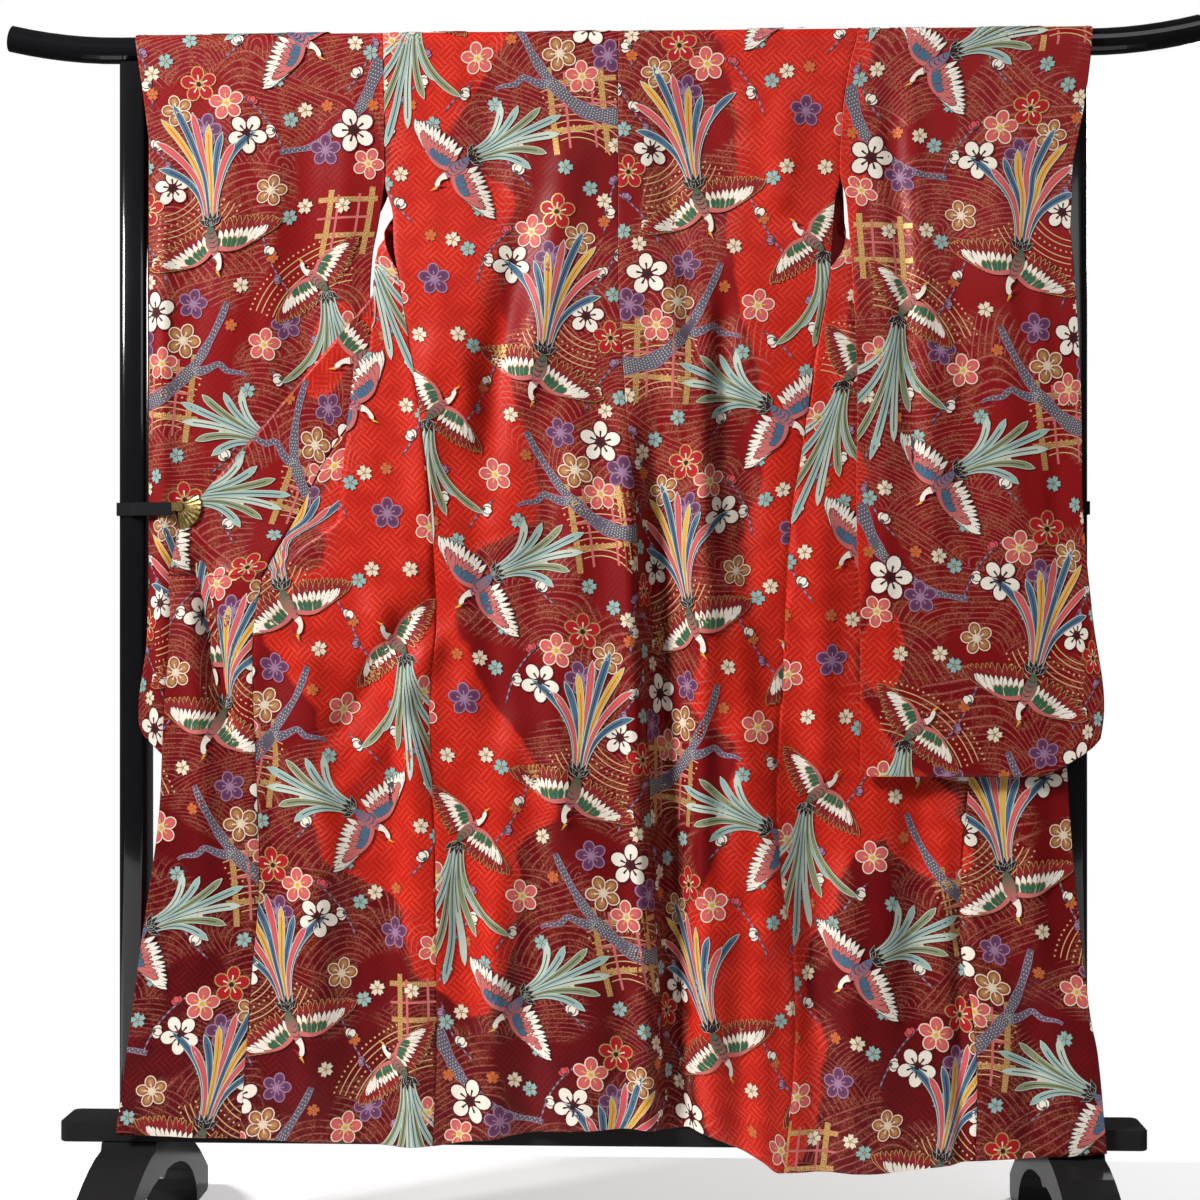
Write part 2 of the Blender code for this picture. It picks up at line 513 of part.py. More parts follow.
def add_okumi(name, edge, seam, hem_marks, finish, collection):
    """Make an overlap panel, from the collar's end down to the hem."""
    columns = 6
    hem_across = [mark.across for mark in hem_marks]
    hem_height = [mark.height for mark in hem_marks]
    outward = -1 if edge(0)[0] < 0 else 1

    def place(index, row):
        share = index / columns
        foot = mix(edge(0)[0], seam(0)[0], share)
        hem = float(np.interp(foot, hem_across, hem_height))
        height = mix(LADDER[-1] - SEAM, hem, row / SKIRT_ROWS)
        across = mix(edge(height)[0], seam(height)[0] + outward * SEAM / 2, share)
        return Vector((across, curtain(across, height), height))

    add_sheet(name, columns, SKIRT_ROWS, place, finish, collection)


def collar_start(seam, height, outward):
    """Where the collar begins beside its seam; it lies behind the front where it turns outwards."""
    across, depth = seam(height)
    if height <= UNFOLDED_ABOVE:
        depth += CLOTH * smooth((height - 1.440) / (1.459 - 1.440))
        return Vector((across + outward * SEAM / 2, depth, height))
    lapped = smooth((1.690 - height) / (1.690 - 1.655))
    aside = -outward * mix(SEAM / 2, 0, lapped)
    return Vector((across + aside, depth + (CLOTH + SEAM) * lapped, height))


def collar_sections():
    """List the collar's sections from its left end, round the neck, to its right end."""
    pair_seams = [pair.seam_height for pair in reversed(COLLAR_PAIRS)]
    pair_edges = [pair.edge_height for pair in reversed(COLLAR_PAIRS)]

    def half(seam, edge, neck, outward):
        found = []
        for height in reversed(LADDER):
            edge_height = float(np.interp(height, pair_seams, pair_edges))
            edge_x, edge_y = edge(edge_height)
            found.append((0, collar_start(seam, height, outward),
                          Vector((edge_x, edge_y, edge_height))))
        for turn in reversed(WRAP_TURNS):
            edge_height = mix(pair_edges[-1], NECK_EDGE_HEIGHT, turn / 90)
            edge_x, edge_y = edge(edge_height)
            seam_x = mix(seam(BAR_HEIGHT)[0], neck, turn / 90) - outward * SEAM / 2
            found.append((turn, over_bar(seam_x, seam(BAR_HEIGHT)[1], BAR_HEIGHT, turn),
                          Vector((edge_x, edge_y, edge_height))))
        return found

    left = half(line(LEFT_COLLAR_SEAM), line(LEFT_COLLAR_EDGE), NECK_LEFT, -1)
    right = half(line(RIGHT_COLLAR_SEAM), line(RIGHT_COLLAR_EDGE), NECK_RIGHT, 1)
    across_neck = []
    for step in range(1, NECK_ROWS):
        share = step / NECK_ROWS
        lift = Vector((0, 0, 0.003 * math.sin(math.pi * share)))
        across_neck.append((90, left[-1][1].lerp(right[-1][1], share),
                            left[-1][2].lerp(right[-1][2], share) + lift))
    return left + across_neck + right[::-1]


def add_collar(finish, collection):
    """Make the collar, one long band sewn to both fronts and to the back of the neck."""
    sections = collar_sections()
    columns = 7
    bar_depth = LEFT_COLLAR_SEAM[0].depth

    def place(index, row):
        turn, seam_point, edge_point = sections[row]
        share = index / columns
        wrapped = COLLAR_WRAP_SHARE * turn / 90
        if share < wrapped:
            across = mix(seam_point.x, edge_point.x, share / 2)
            return over_bar(across, bar_depth, BAR_HEIGHT, turn * (1 - share / wrapped))
        start = seam_point
        if turn:
            across = mix(seam_point.x, edge_point.x, wrapped / 2)
            start = Vector((across, bar_depth, BAR_HEIGHT))
        point = start.lerp(edge_point, (share - wrapped) / (1 - wrapped))
        point.y = settled(point.x, point.y, point.z)
        return point

    add_sheet("collar", columns, len(sections) - 1, place, finish, collection)


def add_sleeve(name, sections, folds, positions, finish, collection):
    """Make a sleeve: one length from the near bottom up over the bar and down to the far bottom."""
    columns = len(positions) - 1
    fall, wrap = SLEEVE_FALL_ROWS, SLEEVE_WRAP_ROWS
    outward = -1 if sections[0].near_cuff < 0 else 1

    def read(layer, share, height):
        body = column(sections, layer + "_body", height) + outward * SEAM / 2
        cuff = column(sections, layer + "_cuff", height)
        across = mix(body, cuff, share)
        depth = mix(column(sections, layer + "_body_depth", height),
                    column(sections, layer + "_cuff_depth", height), share)
        if layer == "near":
            depth -= folded(folds, across, height)
        return across, depth

    def place(index, row):
        share = positions[index]
        corner = max(share - SLEEVE_CORNER_START, 0) / (1 - SLEEVE_CORNER_START)
        bottom = SLEEVE_BOTTOM + SLEEVE_CORNER_RISE * corner ** 2
        if row <= fall:
            height = mix(bottom, BAR_HEIGHT, row / fall)
            across, depth = read("near", share, height)
            return Vector((across, depth, height))
        if row < fall + wrap:
            turn = math.pi * (row - fall) / wrap
            near_x, near_y = read("near", share, BAR_HEIGHT)
            far_x, far_y = read("far", share, BAR_HEIGHT)
            reach = near_y if turn < math.pi / 2 else -far_y
            return Vector((mix(near_x, far_x, turn / math.pi), reach * math.cos(turn),
                           BAR_HEIGHT + WRAP_RISE * math.sin(turn)))
        height = mix(BAR_HEIGHT, bottom, (row - fall - wrap) / fall)
        across, depth = read("far", share, height)
        return Vector((across, depth, height))

    add_sheet(name, columns, fall * 2 + wrap, place, finish, collection)


def add_bar(finish, collection):
    """Make the round bar with its ends swept up."""
    curve = bpy.data.curves.new("bar", "CURVE")
    curve.dimensions = "3D"
    curve.bevel_depth = BAR_RADIUS
    curve.bevel_resolution = 8
    curve.use_fill_caps = True
    sweep = BAR_HALF - BAR_STRAIGHT
    rising = [(BAR_STRAIGHT + sweep * step / 6, BAR_SWEEP * (step / 6) ** 2) for step in range(7)]
    stops = [(-x, rise) for x, rise in reversed(rising)] + rising
    spline = curve.splines.new("POLY")
    spline.points.add(len(stops) - 1)
    for point, (x, rise) in zip(spline.points, stops):
        point.co = (x, 0, BAR_HEIGHT + rise, 1)
    curve.materials.append(finish)
    collection.objects.link(bpy.data.objects.new("bar", curve))


def box_mesh(name, low, high):
    shape = bmesh.new()
    bmesh.ops.create_cube(shape, size=1)
    low, high = Vector(low), Vector(high)
    bmesh.ops.scale(shape, vec=high - low, verts=shape.verts)
    bmesh.ops.translate(shape, vec=(low + high) / 2, verts=shape.verts)
    mesh = bpy.data.meshes.new(name)
    shape.to_mesh(mesh)
    shape.free()
    return mesh


def round_edges(found, width, segments=2):
    edge = found.modifiers.new("Rounded edges", "BEVEL")
    edge.width = width
    edge.segments = segments
    edge.limit_method = "ANGLE"
    edge.angle_limit = math.radians(40)


def add_cutter(name, mesh, cutters):
    found = bpy.data.objects.new(name, mesh)
    found.hide_render = True
    found.display_type = "WIRE"
    cutters.objects.link(found)
    return found


def add_post(name, across, finish, collection, cutters):
    """Make a post, notched on top so that the bar lies in it."""
    low = (across - POST_WIDTH / 2, -POST_DEPTH / 2, BEAM_BOTTOM + BEAM_THICKNESS + FIT)
    high = (across + POST_WIDTH / 2, POST_DEPTH / 2, BAR_HEIGHT)
    post = add_object(name, box_mesh(name, low, high), finish, collection)
    shape = bmesh.new()
    turned = Matrix.Rotation(math.pi / 2, 4, "Y")
    bmesh.ops.create_cone(shape, cap_ends=True, segments=40, radius1=BAR_RADIUS + FIT,
                          radius2=BAR_RADIUS + FIT, depth=POST_WIDTH * 2, matrix=turned)
    bmesh.ops.translate(shape, vec=(across, 0, BAR_HEIGHT), verts=shape.verts)
    mesh = bpy.data.meshes.new(name + "_notch")
    shape.to_mesh(mesh)
    shape.free()
    cut = post.modifiers.new("Notch", "BOOLEAN")
    cut.object = add_cutter(name + "_notch", mesh, cutters)
    cut.operation = "DIFFERENCE"
    round_edges(post, 0.0015, 1)


def foot_outline():
    """Side view of a foot: an arched board, flat under the beam, with long sloping toes."""
    half = [(BEAM_DEPTH / 2 + 0.001, FOOT_HEIGHT), (BEAM_DEPTH / 2 + 0.006, FOOT_HEIGHT - 0.011)]
    shoulder = half[-1]
    for step in range(1, 9):                   # top, out to the toe
        share = step / 8
        half.append((mix(shoulder[0], FOOT_REACH, share), shoulder[1] - 0.112 * share ** 1.7))
    half.append((FOOT_REACH, 0.006))
    half.append((FOOT_REACH - 0.006, 0))
    inner = FOOT_REACH - TOE_LENGTH
    half.append((inner, 0))
    for step in range(1, 9):                   # underside, from the toe back to the middle
        turn = math.pi / 2 * step / 8
        half.append((0.020 + (inner - 0.020) * math.cos(turn), ARCH_HEIGHT * math.sin(turn)))
    half.append((0, ARCH_HEIGHT - 0.008))      # small point in the middle of the arch
    other = [(-out, height) for out, height in reversed(half[:-1])]
    return half + other


def add_foot(name, across, finish, collection):
    curve = bpy.data.curves.new(name, "CURVE")
    curve.dimensions = "2D"
    curve.fill_mode = "BOTH"
    curve.extrude = FOOT_WIDTH / 2
    outline = foot_outline()
    spline = curve.splines.new("POLY")
    spline.points.add(len(outline) - 1)
    for point, (out, height) in zip(spline.points, outline):
        point.co = (out, height, 0, 1)
    spline.use_cyclic_u = True
    curve.materials.append(finish)
    foot = bpy.data.objects.new(name, curve)
    foot.matrix_world = Matrix(((0, 0, 1, across), (1, 0, 0, 0), (0, 1, 0, 0), (0, 0, 0, 1)))
    collection.objects.link(foot)


def add_beam(finish, collection):
    low = (-BEAM_HALF, -BEAM_DEPTH / 2, BEAM_BOTTOM)
    high = (BEAM_HALF, BEAM_DEPTH / 2, BEAM_BOTTOM + BEAM_THICKNESS)
    mesh = box_mesh("beam", low, high)
    shape = bmesh.new()
    shape.from_mesh(mesh)
    corners = [edge for edge in shape.edges if abs(edge.verts[0].co.z - edge.verts[1].co.z) > 0.01]
    bmesh.ops.bevel(shape, geom=corners, offset=0.011, segments=3, profile=0.5, affect="EDGES")
    shape.to_mesh(mesh)
    shape.free()
    round_edges(add_object("beam", mesh, finish, collection), 0.0015, 1)


def add_strap(name, outward, clip_x, tab_depth, finish, collection):
    """Make a flat ribbon round a post, with a tab that reaches in front of the sleeve to the clip."""
    clear = 0.0004
    wall = STRAP_WALL
    inner_x = POST_ACROSS - POST_WIDTH / 2 - clear
    outer_x = POST_ACROSS + POST_WIDTH / 2 + clear
    deep = POST_DEPTH / 2 + clear
    end_x = abs(clip_x) + 0.0112
    rise = -deep - wall - tab_depth
    outer = [
        (inner_x - wall, deep + wall), (outer_x + wall, deep + wall), (outer_x + wall, -deep - wall),
        (POST_ACROSS + 0.004, -deep - wall), (POST_ACROSS + 0.002 - rise, tab_depth),
        (end_x, tab_depth), (end_x, tab_depth + wall),
        (POST_ACROSS + 0.0014 - rise, tab_depth + wall), (POST_ACROSS + 0.0004, -deep - wall),
        (inner_x - wall, -deep - wall),
    ]
    hole = [(inner_x, deep), (outer_x, deep), (outer_x, -deep), (inner_x, -deep)]
    curve = bpy.data.curves.new(name, "CURVE")
    curve.dimensions = "2D"
    curve.fill_mode = "BOTH"
    curve.extrude = STRAP_HEIGHT / 2
    for outline in (outer, hole):
        spline = curve.splines.new("POLY")
        spline.points.add(len(outline) - 1)
        for point, (x, y) in zip(spline.points, outline):
            point.co = (outward * x, y, 0, 1)
        spline.use_cyclic_u = True
    curve.materials.append(finish)
    strap = bpy.data.objects.new(name, curve)
    strap.location.z = CLIP_HEIGHT - 0.003
    collection.objects.link(strap)


def add_clip(name, outward, clip_x, cloth_depth, finish, collection, cutters):
    """Make a fan-shaped clip: a pleated fan and knob in front of the cloth, a jaw behind it."""
    front = cloth_depth - CLOTH / 2 - 0.0030
    turns, rings = FAN_PLEATS * 2, 4

    def place(index, ring):
        turn = math.radians(mix(-94, 38, index / turns))
        reach = mix(0.002, FAN_RADIUS, ring / rings)
        pleat = 0.0008 * (1 if index % 2 else -1) * smooth((reach - FAN_HUB) / 0.006)
        return Vector((clip_x - outward * reach * math.cos(turn), front + pleat,
                       CLIP_HEIGHT + reach * math.sin(turn)))

    fan = add_sheet(name, turns, rings, place, finish, collection)
    fan.modifiers["Wall"].thickness = 0.0012
    shape = bmesh.new()
    turned = Matrix.Rotation(math.pi / 2, 4, "X")
    bmesh.ops.create_cone(shape, cap_ends=True, segments=20, radius1=FAN_HUB * 0.62,
                          radius2=FAN_HUB * 0.5, depth=0.0042, matrix=turned)
    bmesh.ops.translate(shape, vec=(clip_x, front - 0.0004, CLIP_HEIGHT), verts=shape.verts)
    knob = bpy.data.meshes.new(name + "_knob")
    shape.to_mesh(knob)
    shape.free()
    inside = clip_x + outward * 0.0105
    outside = clip_x + outward * 0.0055
    bridge_edges = sorted((inside, outside))
    jaw_edges = sorted((inside, clip_x - outward * 0.020))
    jaw_front = cloth_depth + CLOTH / 2 + 0.0005
    bridge = box_mesh(name + "_bridge", (bridge_edges[0], front - 0.0005, CLIP_HEIGHT - 0.006),
                      (bridge_edges[1], jaw_front + 0.0012, CLIP_HEIGHT + 0.006))
    jaw = box_mesh(name + "_jaw", (jaw_edges[0], jaw_front, CLIP_HEIGHT - 0.0055),
                   (jaw_edges[1], jaw_front + 0.0011, CLIP_HEIGHT + 0.0055))
    for part in (knob, bridge, jaw):
        join = fan.modifiers.new(part.name, "BOOLEAN")
        join.object = add_cutter(part.name, part, cutters)
        join.operation = "UNION"


def clear_scene():
    for found in list(bpy.data.objects):
        bpy.data.objects.remove(found, do_unlink=True)


def main():
    clear_scene()
    furisode = bpy.data.collections.new("furisode on a kimono stand")
    cutters = bpy.data.collections.new("cutters")
    bpy.context.scene.collection.children.link(furisode)
    bpy.context.scene.collection.children.link(cutters)
    scarlet = material("scarlet silk", (0.72, 0.03, 0.02), 0.55)
    crimson = material("crimson silk", (0.36, 0.02, 0.03), 0.55)
    lacquer = material("black lacquer", (0.008, 0.008, 0.009), 0.12)
    ribbon = material("black ribbon", (0.012, 0.012, 0.014), 0.6)
    gilt = material("gilt brass", (0.62, 0.50, 0.22), 0.35, 1.0)

    add_back("back_left", left_side, LEFT_SHOULDER, centre_seam, LEFT_HEM, scarlet, furisode)
    add_back("back_right", right_side, RIGHT_SHOULDER, centre_seam, RIGHT_HEM, scarlet, furisode)
    add_front("front_left", line(LEFT_ARMHOLE), LEFT_SHOULDER, left_side, LEFT_PLEAT,
              line(LEFT_COLLAR_SEAM), NECK_LEFT, left_okumi_seam, LEFT_HEM, scarlet, furisode)
    add_front("front_right", line(RIGHT_ARMHOLE), RIGHT_SHOULDER, right_side, RIGHT_PLEAT,
              line(RIGHT_COLLAR_SEAM), NECK_RIGHT, right_okumi_seam, RIGHT_HEM, scarlet, furisode)
    add_okumi("okumi_left", left_okumi_edge, left_okumi_seam, LEFT_HEM, crimson, furisode)
    add_okumi("okumi_right", right_okumi_edge, right_okumi_seam, RIGHT_HEM, crimson, furisode)
    add_collar(crimson, furisode)
    add_sleeve("sleeve_left", LEFT_SLEEVE, LEFT_SLEEVE_FOLDS, LEFT_SLEEVE_COLUMNS, crimson, furisode)
    add_sleeve("sleeve_right", RIGHT_SLEEVE, RIGHT_SLEEVE_FOLDS, RIGHT_SLEEVE_COLUMNS, crimson,
               furisode)

    add_bar(lacquer, furisode)
    add_beam(lacquer, furisode)
    for name, outward in (("left", -1), ("right", 1)):
        add_post("post_" + name, outward * POST_ACROSS, lacquer, furisode, cutters)
        add_foot("foot_" + name, outward * POST_ACROSS, lacquer, furisode)
    add_strap("strap_left", -1, -0.606, -0.0390, ribbon, furisode)
    add_clip("clip_left", -1, -0.606, -0.0348, gilt, furisode, cutters)
    add_strap("strap_right", 1, 0.628, -0.0335, ribbon, furisode)
    add_clip("clip_right", 1, 0.628, -0.0293, gilt, furisode, cutters)


main()
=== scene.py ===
import math

import bpy
import numpy as np
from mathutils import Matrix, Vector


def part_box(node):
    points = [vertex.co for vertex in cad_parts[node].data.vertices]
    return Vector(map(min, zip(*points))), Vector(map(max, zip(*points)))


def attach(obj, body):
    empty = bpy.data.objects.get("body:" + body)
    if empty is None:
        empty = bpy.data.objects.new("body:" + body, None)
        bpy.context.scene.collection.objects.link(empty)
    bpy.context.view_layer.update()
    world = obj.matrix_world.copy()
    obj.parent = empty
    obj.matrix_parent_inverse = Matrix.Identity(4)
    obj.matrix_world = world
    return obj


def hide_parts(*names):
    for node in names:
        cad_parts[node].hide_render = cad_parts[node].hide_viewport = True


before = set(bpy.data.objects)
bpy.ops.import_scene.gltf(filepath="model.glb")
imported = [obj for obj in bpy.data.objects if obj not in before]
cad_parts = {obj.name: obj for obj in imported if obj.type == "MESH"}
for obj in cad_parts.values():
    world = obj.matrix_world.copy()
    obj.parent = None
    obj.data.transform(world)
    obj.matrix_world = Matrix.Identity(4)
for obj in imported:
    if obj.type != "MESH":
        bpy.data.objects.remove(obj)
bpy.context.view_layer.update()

# A long-sleeved formal kimono over the bar of its lacquered stand, back to the viewer.
# Metres, +Z up, the viewer on the -Y side. The cloth repeats the sections of the frame's
# own solids, finer, and the print is laid on it afterwards.

# What the whole garment shares
garment = {
    # the cloth hangs in front of the stand's beam, and leans back over it above
    "beamTop": 0.189, "clearOfBeam": -0.0425, "beamSlope": 0.35,
    "wall": 0.0011,          # silk and lining together
    "seam": -0.0003,         # two sewn pieces just overlap in the seam
    "grid": 0.0068,          # spacing of the cloth's rows
    "edgeColumns": (0, 0.0016, 0.0036, 0.0075),       # distance of its outer columns from an edge
    "seamDip": 0.0011,       # how far the cloth sinks into a seam
    "seamReach": 0.0035,     # how far from a seam it starts to sink
    "barHeight": 1.7445,
    "wrapRise": 0.0208,      # the cloth's middle over the bar's axis
    "hemTop": 0.976,         # where the collar ends and the skirt begins
    "hemLow": 0.16,
    "sideSeamTop": 1.415,
    "unfoldedAbove": 1.465,  # the fronts are unfolded above, pleated below
    "pleatStart": 1.472,     # the row above that step, which is taken in one
    "settledBelow": 1.06,
    "deepest": 1.3,          # how far the crimson may deepen
}
ladder = (1.7445, 1.69, 1.65, 1.62, 1.556, 1.52, 1.495, 1.472, 1.459, 1.445, 1.415, 1.36,
          1.3, 1.275, 1.22, 1.165, 1.11, 1.06, 1.02, 0.976)
wrapTurns = (90, 80, 70, 57, 45, 32, 20, 10)     # degrees over the bar

# seams and edges: height, across, depth
seams = {
    "leftSide": (
        (1.7445, -0.312, -0.0275), (1.546, -0.309, -0.029), (1.496, -0.297, -0.034),
        (1.452, -0.295, -0.04), (1.41, -0.288, -0.046), (1.358, -0.279, -0.05),
        (1.214, -0.256, -0.05), (1.064, -0.239, -0.05), (0.899, -0.233, -0.052),
        (0.791, -0.242, -0.056), (0.548, -0.232, -0.058), (0.293, -0.231, -0.057),
        (0.163, -0.238, -0.056)),
    "centre": (
        (1.7445, 0.027, -0.0275), (1.435, 0.027, -0.042), (1.226, 0.038, -0.056),
        (1.063, 0.053, -0.062), (0.936, 0.056, -0.066), (0.792, 0.066, -0.068),
        (0.479, 0.08, -0.068), (0.187, 0.099, -0.066)),
    "rightSide": (
        (1.7445, 0.3685, -0.0275), (1.713, 0.36, -0.028), (1.631, 0.347, -0.0285),
        (1.543, 0.344, -0.029), (1.514, 0.337, -0.032), (1.412, 0.329, -0.04),
        (1.288, 0.308, -0.044), (1.154, 0.289, -0.044), (1.046, 0.272, -0.044),
        (0.845, 0.262, -0.046), (0.657, 0.252, -0.048), (0.55, 0.258, -0.05),
        (0.441, 0.276, -0.052), (0.332, 0.279, -0.054), (0.129, 0.263, -0.055)),
    "leftArmhole": (
        (1.7445, -0.32, 0.0275), (1.556, -0.305, 0.013), (1.503, -0.3, 0.002),
        (1.484, -0.307, -0.016), (1.472, -0.31, -0.028), (1.459, -0.308, -0.0375),
        (1.445, -0.304, -0.04), (1.415, -0.2905, -0.046)),
    "rightArmhole": (
        (1.7445, 0.372, 0.0275), (1.556, 0.351, 0.008), (1.503, 0.352, -0.006),
        (1.484, 0.352, -0.014), (1.472, 0.353, -0.024), (1.459, 0.352, -0.0325),
        (1.445, 0.349, -0.037), (1.415, 0.3305, -0.04)),
    "leftCollarSeam": (
        (1.7445, -0.077, 0.0285), (1.675, -0.111, 0.03), (1.617, -0.13, 0.028),
        (1.556, -0.151, 0.017), (1.495, -0.178, 0.004), (1.42, -0.21, -0.01),
        (1.319, -0.249, -0.022), (1.252, -0.295, -0.026), (1.2, -0.357, -0.029),
        (1.135, -0.4, -0.031), (1.066, -0.434, -0.033), (0.976, -0.484, -0.043)),
    "leftCollarEdge": (
        (1.688, 0.027, 0.033), (1.685, -0.016, 0.034), (1.674, -0.06, 0.035),
        (1.649, -0.103, 0.038), (1.603, -0.145, 0.039), (1.549, -0.188, 0.028),
        (1.496, -0.231, 0.011), (1.44, -0.278, -0.018), (1.383, -0.325, -0.0295),
        (1.2, -0.48, -0.032), (1.07, -0.591, -0.034), (1.046, -0.605, -0.035),
        (0.976, -0.622, -0.039)),
    "rightCollarSeam": (
        (1.7445, 0.131, 0.0285), (1.675, 0.165, 0.03), (1.617, 0.184, 0.028),
        (1.556, 0.205, 0.017), (1.495, 0.232, 0.004), (1.42, 0.264, -0.008),
        (1.319, 0.303, -0.018), (1.252, 0.349, -0.022), (1.2, 0.411, -0.024),
        (1.135, 0.454, -0.026), (1.066, 0.488, -0.028), (0.976, 0.538, -0.036)),
    "rightCollarEdge": (
        (1.688, 0.027, 0.033), (1.685, 0.07, 0.034), (1.674, 0.114, 0.035),
        (1.649, 0.157, 0.038), (1.603, 0.199, 0.039), (1.549, 0.242, 0.028),
        (1.496, 0.285, 0.01), (1.44, 0.33, -0.012), (1.383, 0.379, -0.021),
        (1.2, 0.534, -0.026), (1.095, 0.622, -0.028), (1.07, 0.632, -0.029),
        (0.976, 0.655, -0.033)),
    "leftOkumiSeam": (
        (0.976, -0.484, 0), (0.863, -0.496, 0), (0.717, -0.492, 0), (0.556, -0.487, 0),
        (0.37, -0.499, 0), (0.172, -0.514, 0)),
    "leftOkumiEdge": (
        (0.976, -0.622, 0), (0.918, -0.617, 0), (0.753, -0.625, 0), (0.655, -0.629, 0),
        (0.436, -0.658, 0), (0.175, -0.693, 0)),
    "rightOkumiSeam": (
        (0.976, 0.538, 0), (0.717, 0.527, 0), (0.478, 0.514, 0), (0.333, 0.533, 0),
        (0.262, 0.537, 0), (0.147, 0.534, 0)),
    "rightOkumiEdge": (
        (0.976, 0.655, 0), (0.658, 0.668, 0), (0.441, 0.687, 0), (0.351, 0.697, 0),
        (0.298, 0.707, 0), (0.159, 0.719, 0)),
}
# what differs between its two halves; hem: across, height
halves = {
    "left": {"outward": -1, "shoulder": -0.316, "neck": -0.064, "hem": (
        (-0.693, 0.175), (-0.54, 0.172), (-0.284, 0.162), (-0.235, 0.163), (-0.175, 0.173),
        (-0.109, 0.181), (0.001, 0.19), (0.055, 0.191), (0.099, 0.187))},
    "right": {"outward": 1, "shoulder": 0.37025, "neck": 0.118, "hem": (
        (0.099, 0.187), (0.126, 0.19), (0.162, 0.181), (0.188, 0.168), (0.229, 0.148), (0.257, 0.129),
        (0.347, 0.128), (0.502, 0.141), (0.534, 0.147), (0.646, 0.153), (0.719, 0.159))},
}
# depth of the hanging cloth: height, left edge, left side seam, centre, right side seam, right edge
hanging = (
    (1.7445, -0.036, -0.0275, -0.0275, -0.0275, -0.033), (1.546, -0.036, -0.029, -0.035, -0.029, -0.033),
    (1.496, -0.036, -0.034, -0.038, -0.033, -0.033), (1.452, -0.036, -0.04, -0.041, -0.037, -0.033),
    (1.41, -0.036, -0.046, -0.045, -0.04, -0.033), (1.358, -0.036, -0.05, -0.049, -0.043, -0.033),
    (1.226, -0.036, -0.05, -0.056, -0.044, -0.033), (1.063, -0.036, -0.05, -0.062, -0.044, -0.033),
    (0.972, -0.039, -0.05, -0.065, -0.045, -0.033), (0.899, -0.05, -0.052, -0.067, -0.046, -0.034),
    (0.791, -0.056, -0.056, -0.068, -0.047, -0.035), (0.548, -0.057, -0.058, -0.068, -0.05, -0.038),
    (0.333, -0.057, -0.058, -0.068, -0.054, -0.044), (0.129, -0.056, -0.056, -0.066, -0.055, -0.051))
# folds: top height, top across, low height, low across, swell towards the viewer, width
mainFolds = (
    (1.3, 0.08, -0.2, 0.116, -0.026, 0.03), (1.48, 0.152, -0.2, 0.136, 0.014, 0.02),
    (1.42, 0.18, 0.95, 0.166, -0.01, 0.018), (1.7, 0.128, 1.48, 0.19, -0.005, 0.025),
    (1.0, 0.19, 0.6, 0.22, 0.008, 0.025), (0.7, 0.212, -0.2, 0.205, -0.009, 0.02),
    (1.44, -0.128, 1.0, -0.165, -0.008, 0.025), (1.25, -0.03, -0.2, -0.01, 0.007, 0.035),
    (0.62, -0.195, -0.2, -0.2, -0.012, 0.03), (1.15, -0.1, -0.2, -0.105, -0.006, 0.03),
    (0.92, -0.262, -0.2, -0.27, 0.007, 0.025), (0.9, -0.33, -0.2, -0.34, -0.007, 0.028),
    (1.03, -0.56, 0.7, -0.43, 0.009, 0.028), (1.045, -0.583, 0.74, -0.526, -0.013, 0.014),
    (0.86, -0.56, -0.2, -0.59, 0.005, 0.026), (0.64, 0.511, -0.2, 0.518, -0.011, 0.012),
    (0.7, 0.4, -0.2, 0.395, 0.006, 0.028), (0.76, 0.325, -0.2, 0.335, -0.006, 0.022))
